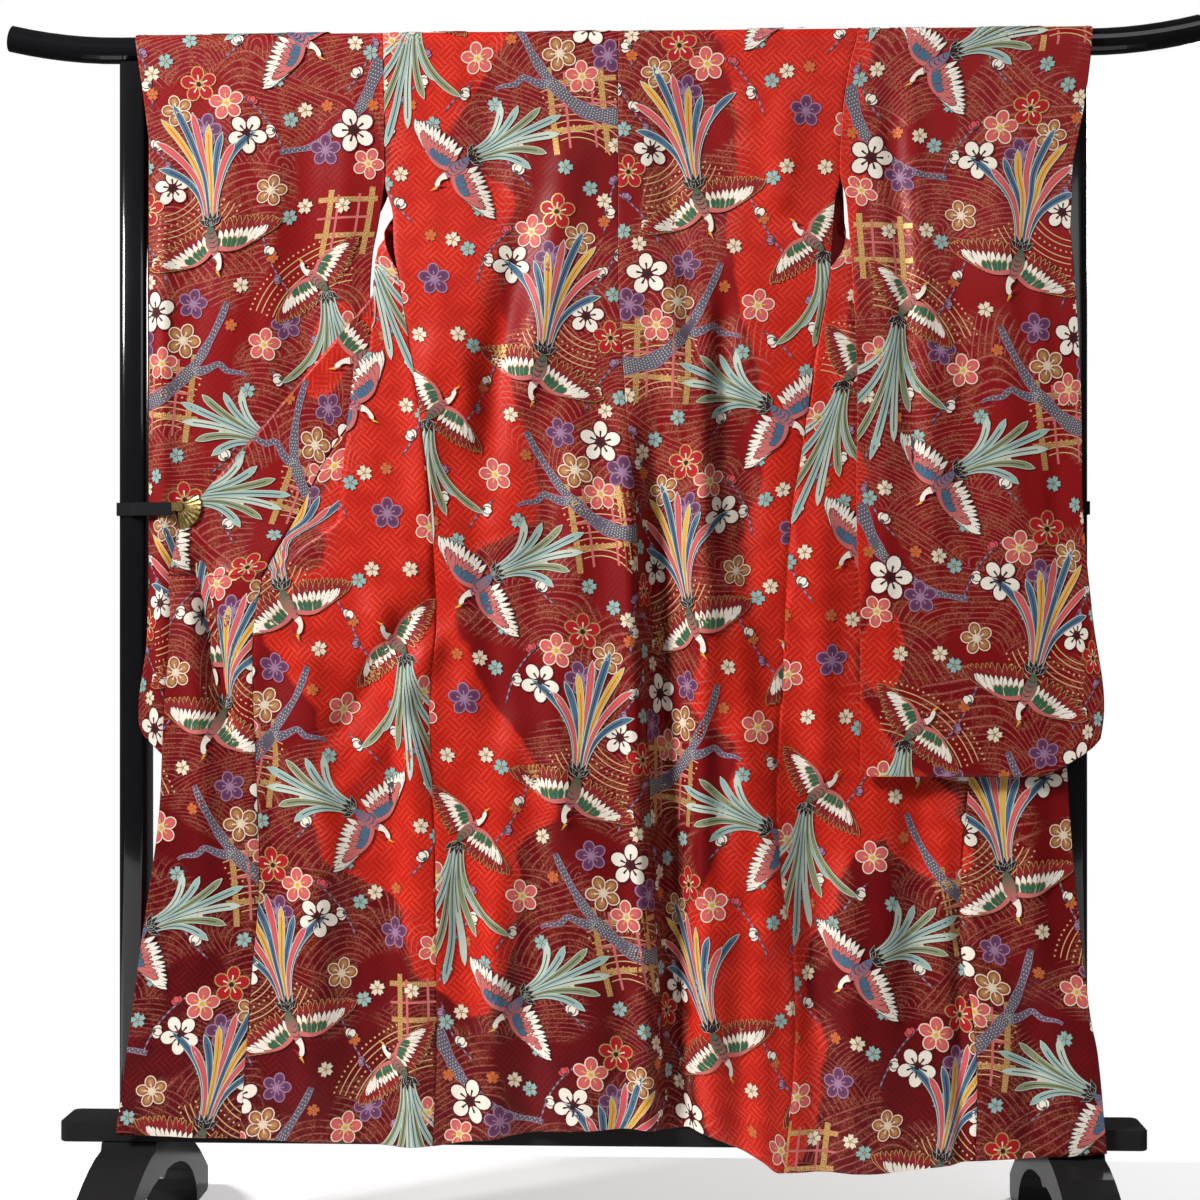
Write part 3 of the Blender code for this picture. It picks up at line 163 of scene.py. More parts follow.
# the soft creases that only the finished cloth has, in the same columns
softCreases = (
    (1.03, -0.56, 0.8, -0.47, -0.0054, 0.016), (1.0, -0.54, 0.83, -0.4, 0.0081, 0.022),
    (1.01, -0.59, 0.56, -0.56, 0.0068, 0.016), (0.98, -0.58, 0.64, -0.5, -0.0047, 0.016),
    (0.9, -0.42, 0.5, -0.39, 0.0108, 0.026), (0.86, -0.29, 0.4, -0.3, -0.0095, 0.022),
    (1.35, -0.21, 0.98, -0.15, 0.0108, 0.024), (1.2, -0.18, 0.7, -0.14, -0.0108, 0.024),
    (1.05, -0.06, 0.55, -0.05, 0.0101, 0.026), (1.46, 0.1, 1.15, 0.12, 0.0095, 0.022),
    (1.25, 0.205, 0.9, 0.215, -0.0095, 0.022), (1.15, 0.16, 0.75, 0.17, 0.0088, 0.022),
    (0.82, 0.238, 0.4, 0.244, 0.0095, 0.022), (0.7, 0.3, 0.26, 0.305, -0.0081, 0.022),
    (0.8, 0.455, 0.3, 0.45, -0.0108, 0.028), (0.9, 0.6, 0.35, 0.62, 0.0081, 0.024),
    (0.55, -0.15, 0.05, -0.155, 0.0108, 0.022), (0.45, 0.03, 0.05, 0.035, -0.0081, 0.024),
    (1.7, -0.17, 1.45, -0.14, -0.0068, 0.024), (1.69, 0.27, 1.48, 0.26, 0.0068, 0.024),
    (1.65, -0.03, 1.18, -0.11, 0.0088, 0.03), (1.56, -0.09, 1.08, -0.19, -0.0095, 0.028),
    (1.64, 0.09, 1.25, 0.135, -0.0081, 0.022), (1.3, -0.1, 0.62, -0.02, -0.0108, 0.03),
    (0.76, -0.06, 0.18, -0.075, 0.0108, 0.025), (0.6, -0.4, 0.18, -0.42, 0.0095, 0.026),
    (0.52, -0.3, 0.12, -0.31, -0.0095, 0.024), (0.9, -0.47, 0.42, -0.47, -0.0081, 0.022),
    (0.56, 0.17, 0.1, 0.165, 0.0095, 0.022), (0.62, 0.35, 0.1, 0.36, 0.0095, 0.024),
    (1.2, 0.092, 0.56, 0.118, 0.0081, 0.022), (0.42, 0.61, 0.12, 0.62, -0.0081, 0.026),
    (1.24, 0.036, -0.1, 0.084, 0.013, 0.017), (1.24, 0.072, -0.1, 0.126, -0.02, 0.019),
    (1.15, 0.108, -0.1, 0.146, -0.012, 0.02), (0.9, 0.196, -0.1, 0.236, 0.011, 0.026),
    (1.12, 0.315, 0.62, 0.318, 0.009, 0.022), (0.82, -0.112, 0.3, -0.15, 0.01, 0.03),
    (0.7, -0.058, 0.05, -0.1, -0.008, 0.026), (0.64, -0.236, 0.02, -0.17, 0.01, 0.032),
    (0.56, -0.36, 0.02, -0.35, -0.008, 0.03), (0.56, 0.3, 0.02, 0.315, -0.01, 0.024),
    (1.38, -0.23, 0.9, -0.262, 0.009, 0.026), (1.3, 0.0, 0.8, -0.01, -0.007, 0.024),
    (1.62, 0.44, 1.0, 0.47, 0.008, 0.024), (1.6, 0.52, 0.9, 0.54, -0.008, 0.026),
    (1.48, -0.5, 1.12, -0.47, 0.007, 0.026), (1.04, -0.592, 0.72, -0.535, -0.008, 0.022),
    (0.96, -0.25, 0.72, -0.39, -0.01, 0.022), (0.92, -0.21, 0.64, -0.37, 0.009, 0.022),
    (0.98, -0.33, 0.64, -0.24, 0.0101, 0.022), (1.08, -0.27, 0.8, -0.2, -0.0088, 0.022))
foldFade = 0.2


def mix(start, end, share):
    return start + (end - start) * share


def soften(value):
    value = np.clip(value, 0.0, 1.0)
    return value * value * (3 - 2 * value)


def easeThrough(stops, values, at):
    # a smooth curve through the stops that never swings past them
    stops, values = np.asarray(stops, float), np.asarray(values, float)
    if stops[0] > stops[-1]:
        stops, values = stops[::-1], values[::-1]
    gaps = np.diff(stops)
    slopes = np.diff(values) / gaps
    tangents = np.zeros(len(stops))
    tangents[0], tangents[-1] = slopes[0], slopes[-1]
    for i in range(1, len(stops) - 1):
        if slopes[i - 1] * slopes[i] > 0:
            tangents[i] = 2 * slopes[i - 1] * slopes[i] / (slopes[i - 1] + slopes[i])
    at = np.clip(at, stops[0], stops[-1])
    cell = np.clip(np.searchsorted(stops, at) - 1, 0, len(gaps) - 1)
    t = (at - stops[cell]) / gaps[cell]
    keep, turn = 1 - t, gaps[cell]
    return (values[cell] * keep * keep * (1 + 2 * t) + values[cell + 1] * t * t * (3 - 2 * t)
            + tangents[cell] * turn * t * keep * keep - tangents[cell + 1] * turn * t * t * keep)


def column(rows, index, height):
    return easeThrough([row[0] for row in rows], [row[index] for row in rows], height)


def seamAt(name, height):
    return column(seams[name], 1, height), column(seams[name], 2, height)


def foldDepth(folds, across, height):
    total = np.zeros(np.broadcast(across, height).shape)
    for topHeight, topAcross, lowHeight, lowAcross, swell, width in folds:
        run = (topHeight - height) / (topHeight - lowHeight)
        strength = soften(run / foldFade) * soften((1 - run) / foldFade)
        aside = (across - mix(topAcross, lowAcross, run)) / width
        total = total + swell * strength * np.exp(-(aside ** 2))
    return total


def curtain(across, height):
    # depth of the hanging cloth anywhere between the two overlap panels' free edges
    across, height = np.broadcast_arrays(np.asarray(across, float), np.asarray(height, float))
    names = ("leftOkumiEdge", "leftSide", "centre", "rightSide", "rightOkumiEdge")
    stations = [seamAt(name, height)[0] for name in names]
    depths = [column(hanging, i + 1, height) for i in range(5)]
    found = depths[0]
    for i in range(4):
        share = np.clip((across - stations[i]) / (stations[i + 1] - stations[i]), 0, 1)
        found = np.where(across > stations[i], mix(depths[i], depths[i + 1], share), found)
    for folds in (mainFolds, softCreases):
        found = found - foldDepth(folds, across, height)
    overBeam = garment["beamSlope"] * np.maximum(height - garment["beamTop"], 0)
    return np.minimum(found, garment["clearOfBeam"] + overBeam)


def overBar(across, depth, height, turn):
    # a point that hangs at a height, or lies turned over the top of the bar
    lean = math.cos(math.radians(turn))
    rise = garment["wrapRise"] * math.sin(math.radians(turn))
    across, depth, height = np.broadcast_arrays(across, depth, height)
    return np.stack((across, depth * lean, height + rise), axis=-1)


def bodyRows():
    rows = [("turn", turn) for turn in wrapTurns]
    for top, low in zip(ladder, ladder[1:]):
        steps = 1 if top == garment["pleatStart"] else math.ceil((top - low) / garment["grid"])
        rows += [("height", float(h)) for h in np.linspace(top, low, steps, endpoint=False)]
    steps = math.ceil((garment["hemTop"] - garment["hemLow"]) / garment["grid"])
    return rows + [("skirt", float(share)) for share in np.linspace(0, 1, steps + 1)]


def rowAt(row, hem):
    kind, value = row
    if kind == "turn":
        return np.full_like(hem, garment["barHeight"]), value
    if kind == "height":
        return np.full_like(hem, value), 0
    return mix(garment["hemTop"], hem, value), 0


def hemHeights(side, start, end, shares):
    marks = halves[side]["hem"]
    across = mix(seamAt(start, 0.0)[0], seamAt(end, 0.0)[0], shares)
    return easeThrough([mark[0] for mark in marks], [mark[1] for mark in marks], across)


def placeOn(name, height):
    return tuple(float(value) for value in seamAt(name, height))


def upTheCloth(height, turn):
    return height + garment["wrapRise"] * math.radians(turn)


def asArrays(rows):
    # rows of (points, distances up the cloth) as two arrays
    return [np.array(part) for part in zip(*rows)]


def closerAtEdges(steps, width):
    # columns across a piece, closer together beside its two seams
    inset = np.array(garment["edgeColumns"]) / width
    return np.concatenate((inset, np.linspace(inset[-1], 1 - inset[-1], steps + 1)[1:-1], 1 - inset[::-1]))


def alongRows(points):
    # how far along its row each point lies
    steps = np.linalg.norm(np.diff(points, axis=1), axis=2).cumsum(axis=1)
    return np.concatenate((np.zeros((len(points), 1)), steps), axis=1)


def dip(points, sides=(True, True)):
    # sink the cloth a little into the seams at its two long edges
    near = alongRows(points)
    sink = np.zeros_like(near)
    for use, distance in zip(sides, (near, near[:, -1:] - near)):
        if use:
            sink = np.maximum(sink, np.exp(-(distance / garment["seamReach"]) ** 2))
    return sink * garment["seamDip"]


def intoScene(name, data):
    made = bpy.data.objects.new(name, data)
    bpy.context.scene.collection.objects.link(made)
    return made


def mapFlat(mesh, places):
    # the flat map, from each point's place across and along the cloth
    corners = np.empty(len(mesh.loops), int)
    mesh.loops.foreach_get("vertex_index", corners)
    flat = mesh.uv_layers.new(name="flat")
    flat.data.foreach_set("uv", places[corners].reshape(-1).astype(np.float32))


# Making a sheet from its rows of points
pieces = {}


def makeSheet(name, points, along, anchor, outward, sink=0.0):
    # points[row, column]; along is the distance up the cloth; outward is +1 where columns run right
    across = alongRows(points)
    across = outward * (across - across[:, [anchor]])
    points = points.copy()
    points[..., 1] += sink
    index = np.arange(along.size).reshape(along.shape)
    quads = np.stack((index[:-1, :-1], index[:-1, 1:], index[1:, 1:], index[1:, :-1]), axis=-1)
    quads = quads.reshape(-1, 4)
    if outward * (along[-1].mean() - along[0].mean()) < 0:
        quads = quads[:, ::-1]
    mesh = bpy.data.meshes.new("silk_" + name)
    mesh.from_pydata(points.reshape(-1, 3).tolist(), [], quads.tolist())
    mapFlat(mesh, np.stack((across.reshape(-1), along.reshape(-1)), axis=-1))
    mesh.shade_smooth()
    paintGround(mesh)
    for made in clothFinish:
        mesh.materials.append(made)
    pieces[name] = intoScene(mesh.name, mesh), {"along": along, "across": across, "points": points}


# Where the silk is dyed scarlet rather than crimson: height, from across, to across
scarletLeft = (
    (1.75, -0.32, -0.14), (1.67, -0.32, -0.18), (1.59, -0.31, -0.22), (1.52, -0.31, -0.13),
    (1.44, -0.32, -0.15), (1.32, -0.34, -0.14), (1.23, -0.36, -0.12), (1.15, -0.37, -0.1),
    (1.06, -0.4, -0.09), (1.0, -0.4, -0.18), (0.91, -0.49, -0.19), (0.83, -0.44, -0.17),
    (0.74, -0.4, -0.11), (0.65, -0.41, -0.06), (0.58, -0.4, -0.11), (0.51, -0.29, -0.11),
    (0.42, -0.26, -0.13), (0.35, -0.19, -0.15))
scarletRight = (
    (1.75, 0.17, 0.38), (1.67, 0.18, 0.38), (1.59, 0.19, 0.38), (1.49, 0.18, 0.37), (1.38, 0.2, 0.36),
    (1.29, 0.22, 0.36), (1.2, 0.24, 0.36), (1.12, 0.23, 0.38), (1.03, 0.2, 0.38), (0.94, 0.2, 0.38),
    (0.87, 0.14, 0.37), (0.8, 0.13, 0.38), (0.72, 0.19, 0.43), (0.65, 0.17, 0.51), (0.58, 0.17, 0.36),
    (0.51, 0.13, 0.34), (0.42, 0.12, 0.29), (0.3, 0.13, 0.32), (0.22, 0.14, 0.32), (0.13, 0.19, 0.27))
# small scarlet places besides: across, height, half width, half height, tilt
scarletPatches = (
    (-0.42, 0.92, 0.05, 0.07, 24), (-0.39, 1.3, 0.035, 0.07, 16), (0.47, 0.6, 0.07, 0.05, 30),
    (0.4, 0.87, 0.03, 0.06, 0))
scarletEdge = 0.05        # half of what the change from one dye to the other takes
deepBelow = (1.15, 0.3)   # the crimson deepens from the first height down to the second
# places where it is deeper still: across, height, half width, half height, how much
deeperPlaces = (
    (0.0, 1.62, 0.24, 0.3, 0.55), (-0.62, 0.34, 0.24, 0.7, 0.5), (0.05, 1.02, 0.12, 0.24, 0.2),
    (-0.3, 1.12, 0.1, 0.16, 0.25))


def scarletAt(across, height):
    most = np.zeros(len(across))
    for band in (scarletLeft, scarletRight):
        start, end = column(band, 1, height), column(band, 2, height)
        inside = np.minimum(np.minimum(across - start, end - across), height - band[-1][0])
        most = np.maximum(most, 0.5 + inside / (2 * scarletEdge))
    for middle, level, halfWidth, halfHeight, tilt in scarletPatches:
        turn = math.radians(tilt)
        x, z = across - middle, height - level
        along = (z * math.cos(turn) + x * math.sin(turn)) / halfHeight
        aside = (x * math.cos(turn) - z * math.sin(turn)) / halfWidth
        most = np.maximum(most, 1.5 - np.sqrt(along ** 2 + aside ** 2))
    return np.clip(most, 0, 1)


def paintGround(mesh):
    co = np.empty(len(mesh.vertices) * 3)
    mesh.vertices.foreach_get("co", co)
    co = co.reshape(-1, 3)
    deeper = np.clip((deepBelow[0] - co[:, 2]) / (deepBelow[0] - deepBelow[1]), 0, 1)
    for middle, level, halfWidth, halfHeight, amount in deeperPlaces:
        away = np.hypot((co[:, 0] - middle) / halfWidth, (co[:, 2] - level) / halfHeight)
        deeper = deeper + amount * soften(np.clip(1 - away, 0, 1))
    deeper = np.clip(deeper, 0, garment["deepest"])
    for name, values in (("scarlet", scarletAt(co[:, 0], co[:, 2])), ("deep", deeper)):
        found = mesh.attributes.new(name, "FLOAT", "POINT")
        found.data.foreach_set("value", values.astype(np.float32))


# Finishes
def wire(tree, kind, inputs=None, **settings):
    made = tree.nodes.new(kind)
    for key, value in settings.items():
        setattr(made, key, value)
    for key, value in (inputs or {}).items():
        socket = made.inputs[key]
        if isinstance(value, bpy.types.NodeSocket):
            tree.links.new(value, socket)
        else:
            socket.default_value = value
    return made


def reckon(tree, operation, *values):
    return wire(tree, "ShaderNodeMath", dict(enumerate(values)), operation=operation).outputs[0]


def times(tree, first, second):
    return reckon(tree, "MULTIPLY", first, second)


def over(tree, first, second):
    return reckon(tree, "DIVIDE", first, second)


def minus(tree, first, second):
    return reckon(tree, "SUBTRACT", first, second)


def scaled(tree, value, factor, start):
    return reckon(tree, "MULTIPLY_ADD", value, factor, start)


def reckonVector(tree, operation, *values):
    return wire(tree, "ShaderNodeVectorMath", dict(enumerate(values)), operation=operation).outputs[0]


def splitUp(tree, vector):
    return wire(tree, "ShaderNodeSeparateXYZ", {0: vector}).outputs


def either(tree, share, first, second):
    return wire(tree, "ShaderNodeMix", {0: share, 2: first, 3: second}, data_type="FLOAT").outputs[0]


def blendColour(tree, share, first, second):
    return wire(tree, "ShaderNodeMix", {0: share, 6: first, 7: second}, data_type="RGBA").outputs[2]


def stepTo(tree, value, low, high):
    return wire(tree, "ShaderNodeMapRange", {"Value": value, "From Min": low, "From Max": high},
                interpolation_type="SMOOTHSTEP").outputs[0]


def speckle(tree, vector, scale, detail=2.0):
    inputs = {"Vector": vector, "Scale": scale, "Detail": detail}
    return wire(tree, "ShaderNodeTexNoise", inputs).outputs["Fac"]


def patches(tree, vector, scale, detail, low, high):
    return stepTo(tree, speckle(tree, vector, scale, detail), low, high)


def flatMap(tree):
    return wire(tree, "ShaderNodeUVMap", uv_map="flat").outputs["UV"]


def onObject(tree):
    return wire(tree, "ShaderNodeTexCoord").outputs["Object"]


def painted(tree, name):
    return wire(tree, "ShaderNodeAttribute", attribute_name=name).outputs["Fac"]


def feed(tree, shader, **values):
    for key, value in values.items():
        tree.links.new(value, shader.inputs[key.replace("_", " ")])


def raised(tree, height, strength, distance):
    inputs = {"Strength": strength, "Distance": distance, "Height": height}
    return wire(tree, "ShaderNodeBump", inputs).outputs[0]


def newFinish(name, colour, **values):
    made = bpy.data.materials.new(name)
    made.use_nodes = True
    made.diffuse_color = colour
    shader = made.node_tree.nodes["Principled BSDF"]
    for key, value in {"Base Color": colour, **values}.items():
        shader.inputs[key.replace("_", " ")].default_value = value
    return made, made.node_tree, shader


silk = {
    # scarletLit and crimsonLit are lighter copies of the dyes: the painted satin sheen on the woven figure,
    # and crimsonLit also the crimson's random mottle
    "scarlet": (0.365, 0.009, 0.0045, 1), "scarletLit": (0.66, 0.04, 0.02, 1),
    "crimson": (0.142, 0.0036, 0.0052, 1), "crimsonLit": (0.205, 0.0066, 0.0078, 1),
    "wine": (0.05, 0.0016, 0.0026, 1),        # the crimson near the hem
    "plain": (0.225, 0.006, 0.0062, 1),       # where the crimson has no fans
    "line": (0.48, 0.152, 0.128, 1),          # the fans' arcs
    "dust": (0.31, 0.1, 0.044, 1),            # gilt flecks over the crimson
    "fanRadius": 0.15, "fanLine": 0.008, "fanDrift": (0.22, 0.16, 0), "driftSize": 4.0,
    "lineFades": (0.06, 0.15), "lineBreaks": (0.36, 0.5),
    "fretCell": 0.0204, "fretBar": 0.0068, "barFades": (0.17, 0.27),
    # speckles: how many to the metre, detail, and the values between which each fades in
    "grain": (420.0, 3.0), "mottle": 9.0, "crepe": 900.0,
    "flecks": (340.0, 2.0, 0.45, 0.58), "clumps": (46.0, 2.5, 0.44, 0.56),
    "fans": (5.5, 1.0, 0.42, 0.46), "paintedSheenPatches": (26.0, 3.0, 0.3, 0.72),
    "dyed": (0.45, 0.55), "ragged": 0.7,      # where one dye gives way to the other, and how unevenly
    "arcsEnd": (0.55, 0.85),                  # the arcs run on a little into the scarlet
    # the sheen patches, figureShows and litOnScarlet set how much painted satin sheen shows on the woven
    # figure
    # a share, and what is added to it
    "figureShows": (0.62, 0.14), "paintedSheenShows": (0.9, 0.45), "litOnScarlet": (-0.05, 0.95),
    "dustLow": (-0.24, 0.7), "arcsLow": (-0.16, 0.58), "gloss": (-0.1, 0.44),
    "dustOnScarlet": -0.66, "wineShows": 0.8, "dustMetal": 0.3,
    "figureStands": 0.5, "relief": (0.3, 0.0004),     # bump: strength, height in metres
}


def fanSpot(tree, x, y, radius, rowBack):
    # how far this point lies from the middle of the fan whose row is rowBack rows below
    row = minus(tree, reckon(tree, "FLOOR", over(tree, y, radius / 2)), rowBack)
    shift = times(tree, reckon(tree, "FLOORED_MODULO", row, 2.0), radius)
    moved = over(tree, minus(tree, x, shift), radius * 2)
    aside = minus(tree, x, scaled(tree, reckon(tree, "ROUND", moved), radius * 2, shift))
    above = minus(tree, y, times(tree, row, radius / 2))
    return reckon(tree, "SQRT", scaled(tree, aside, aside, times(tree, above, above)))


def offMiddle(tree, value, width):
    # how far a value lies from the middle of its stripe, as a share of the stripe
    return reckon(tree, "ABSOLUTE", minus(tree, reckon(tree, "FRACT", over(tree, value, width)), 0.5))


def fanArcs(tree, flat, grain):
    # overlapping fans of thin broken arcs, their spacing a little uneven
    drift = wire(tree, "ShaderNodeTexNoise", {"Vector": flat, "Scale": silk["driftSize"], "Detail": 1.0})
    pushed = reckonVector(tree, "SUBTRACT", drift.outputs["Color"], (0.5, 0.5, 0.5))
    spot = splitUp(tree, reckonVector(tree, "MULTIPLY_ADD", pushed, silk["fanDrift"], flat))
    radius = silk["fanRadius"]
    lower, upper = (fanSpot(tree, spot[0], spot[1], radius, back) for back in (1.0, 0.0))
    nearest = either(tree, reckon(tree, "LESS_THAN", lower, radius), upper, lower)
    line = minus(tree, 1.0, stepTo(tree, offMiddle(tree, nearest, silk["fanLine"]), *silk["lineFades"]))
    return times(tree, line, stepTo(tree, grain, *silk["lineBreaks"]))


def fretFigure(tree, flat):
    # slanting bars that change direction from cell to cell, as in a figured weave
    leaning = wire(tree, "ShaderNodeMapping", {"Vector": flat, "Rotation": (0, 0, math.pi / 4)}).outputs[0]
    u, v = splitUp(tree, leaning)[:2]
    cells = [reckon(tree, "FLOOR", over(tree, value, silk["fretCell"])) for value in (u, v)]
    odd = reckon(tree, "FLOORED_MODULO", reckon(tree, "ADD", *cells), 2.0)
    bar = offMiddle(tree, either(tree, odd, u, v), silk["fretBar"])
    return minus(tree, 1.0, stepTo(tree, bar, *silk["barFades"]))


def figuredSilk():
    made, tree, shader = newFinish("figured silk", silk["scarlet"], Roughness=0.4, Specular_IOR_Level=0.12)
    flat, zone, low = flatMap(tree), painted(tree, "scarlet"), painted(tree, "deep")
    line, figure = fanArcs(tree, flat, speckle(tree, flat, *silk["grain"])), fretFigure(tree, flat)
    dust = times(tree, patches(tree, flat, *silk["flecks"]), patches(tree, flat, *silk["clumps"]))
    fans = patches(tree, flat, *silk["fans"])
    ragged = scaled(tree, minus(tree, speckle(tree, flat, silk["mottle"], 3.0), 0.5), silk["ragged"], zone)
    dyed = stepTo(tree, ragged, *silk["dyed"])
    # the ground's own colours
    crimson = blendColour(tree, speckle(tree, flat, silk["mottle"]), silk["crimson"], silk["crimsonLit"])
    crimson = blendColour(tree, fans, silk["plain"], crimson)
    deep = blendColour(tree, times(tree, low, silk["wineShows"]), crimson, silk["wine"])
    ground = blendColour(tree, dyed, deep, silk["scarlet"])
    # the woven figure, painted with a satin sheen: lighter copies of the dyes that show unevenly in patches
    figured = blendColour(tree, low, silk["crimsonLit"], silk["crimson"])
    lit = blendColour(tree, dyed, figured, silk["scarletLit"])
    shown = times(tree, scaled(tree, figure, *silk["figureShows"]),
                  scaled(tree, patches(tree, flat, *silk["paintedSheenPatches"]), *silk["paintedSheenShows"]))
    ground = blendColour(tree, times(tree, shown, scaled(tree, dyed, *silk["litOnScarlet"])), ground, lit)
    # gilt flecks and the fans' arcs
    dusted = times(tree, times(tree, dust, fans),
                   scaled(tree, dyed, silk["dustOnScarlet"], scaled(tree, low, *silk["dustLow"])))
    ground = blendColour(tree, dusted, ground, silk["dust"])
    reach = minus(tree, 1.0, stepTo(tree, ragged, *silk["arcsEnd"]))
    arcsDrawn = times(tree, times(tree, line, fans), times(tree, reach, scaled(tree, low, *silk["arcsLow"])))
    crepe = scaled(tree, figure, silk["figureStands"], speckle(tree, flat, silk["crepe"]))
    feed(tree, shader, Base_Color=blendColour(tree, arcsDrawn, ground, silk["line"]),
         Metallic=times(tree, dusted, silk["dustMetal"]), Roughness=scaled(tree, figure, *silk["gloss"]),
         Normal=raised(tree, crepe, *silk["relief"]))
    return made


lining = {
    "usual": (0.3, 0.01, 0.01, 1), "dark": (0.25, 0.007, 0.0075, 1), "pale": (0.34, 0.013, 0.012, 1),
    "mottle": (12.0, 3.0), "weave": (1300.0, 1.0),    # how many to the metre, detail
    "toneShares": (0.5, 0.5), "figureStands": 0.4, "relief": (0.2, 0.0003),
}


def liningSilk():
    made, tree, shader = newFinish("lining silk", lining["usual"], Roughness=0.5, Specular_IOR_Level=0.12)
    flat = flatMap(tree)
    figure = fretFigure(tree, flat)
    figured, mottled = lining["toneShares"]
    tone = scaled(tree, figure, figured, times(tree, speckle(tree, flat, *lining["mottle"]), mottled))
    weave = scaled(tree, figure, lining["figureStands"], speckle(tree, flat, *lining["weave"]))
    feed(tree, shader, Base_Color=blendColour(tree, tone, lining["dark"], lining["pale"]),
         Normal=raised(tree, weave, *lining["relief"]))
    return made


clothFinish = (figuredSilk(), liningSilk())
print("finishes ready")


# Back panels
back = {"columns": 44, "width": 0.32}


def backPoints(side):
    half, outer = halves[side], side + "Side"
    shares = closerAtEdges(back["columns"], back["width"])
    gap = -half["outward"] * garment["seam"] / 2
    hem = hemHeights(side, outer, "centre", shares)
    rows = []
    for row in bodyRows():
        height, turn = rowAt(row, hem)
        start = mix(seamAt(outer, height)[0], half["shoulder"], turn / 90) + gap
        across = mix(start, seamAt("centre", height)[0] - gap, shares)
        rows.append((overBar(across, curtain(across, height), height, turn), upTheCloth(height, turn)))
    return asArrays(rows)


for side, half in halves.items():
    points, along = backPoints(side)
    makeSheet("back_" + side, points, along, -1, -half["outward"], dip(points))
print("back panels laid out")


# Fronts, each with the deep pleat that turns it outwards
# pleat: height, outer fold, inner fold, how far the outer fold starts behind the hanging cloth
pleats = {
    "left": (
        (1.459, -0.312, -0.184, 0.01), (1.445, -0.318, -0.182, 0.002), (1.415, -0.321, -0.18, 0),
        (1.36, -0.324, -0.19, 0), (1.3, -0.329, -0.215, 0), (1.275, -0.349, -0.232, 0),
        (1.22, -0.356, -0.28, 0), (1.165, -0.363, -0.32, 0), (1.11, -0.37, -0.345, 0),
        (1.06, -0.375, -0.357, 0), (1.02, -0.424, -0.4275, 0), (0.976, -0.464, -0.473, 0)),
    "right": (
        (1.459, 0.358, 0.238, 0.01), (1.445, 0.366, 0.236, 0.002), (1.415, 0.371, 0.234, 0),
        (1.36, 0.377, 0.244, 0), (1.3, 0.382, 0.269, 0), (1.275, 0.386, 0.288, 0),
        (1.22, 0.395, 0.334, 0), (1.165, 0.402, 0.372, 0), (1.11, 0.412, 0.392, 0),
        (1.06, 0.425, 0.408, 0), (1.02, 0.478, 0.4815, 0), (0.976, 0.518, 0.527, 0)),
}
front = {
    "pleatShares": (0.38, 0.6, 0.85),
    "pleatTurn": 0.002,
    "hook": 0.009,
    "gathered": (0, 0.033, 0.066, 0.1, 0.12, 0.32, 0.52, 0.72, 0.91, 0.93, 0.953, 0.977, 1),
    "gatherFrom": 1.64, "hookFrom": 1.5, "gatherTo": 1.472, "hookReach": 3, "hookCurve": 1.5,
    "seamReach": 2,          # columns that follow a seam where the skirt opens
    "fadeBelow": 0.073,      # the pleat has opened out this far below the collar's end
    "columns": (15, 2, 16, 2, 14), "columnEnds": (0, 3, 4, 8, 9, 12),     # between its folds
}


def settled(across, depth, height):
    share = soften((garment["settledBelow"] - height) / (garment["settledBelow"] - garment["hemTop"]))
    return mix(depth, curtain(across, height), share)


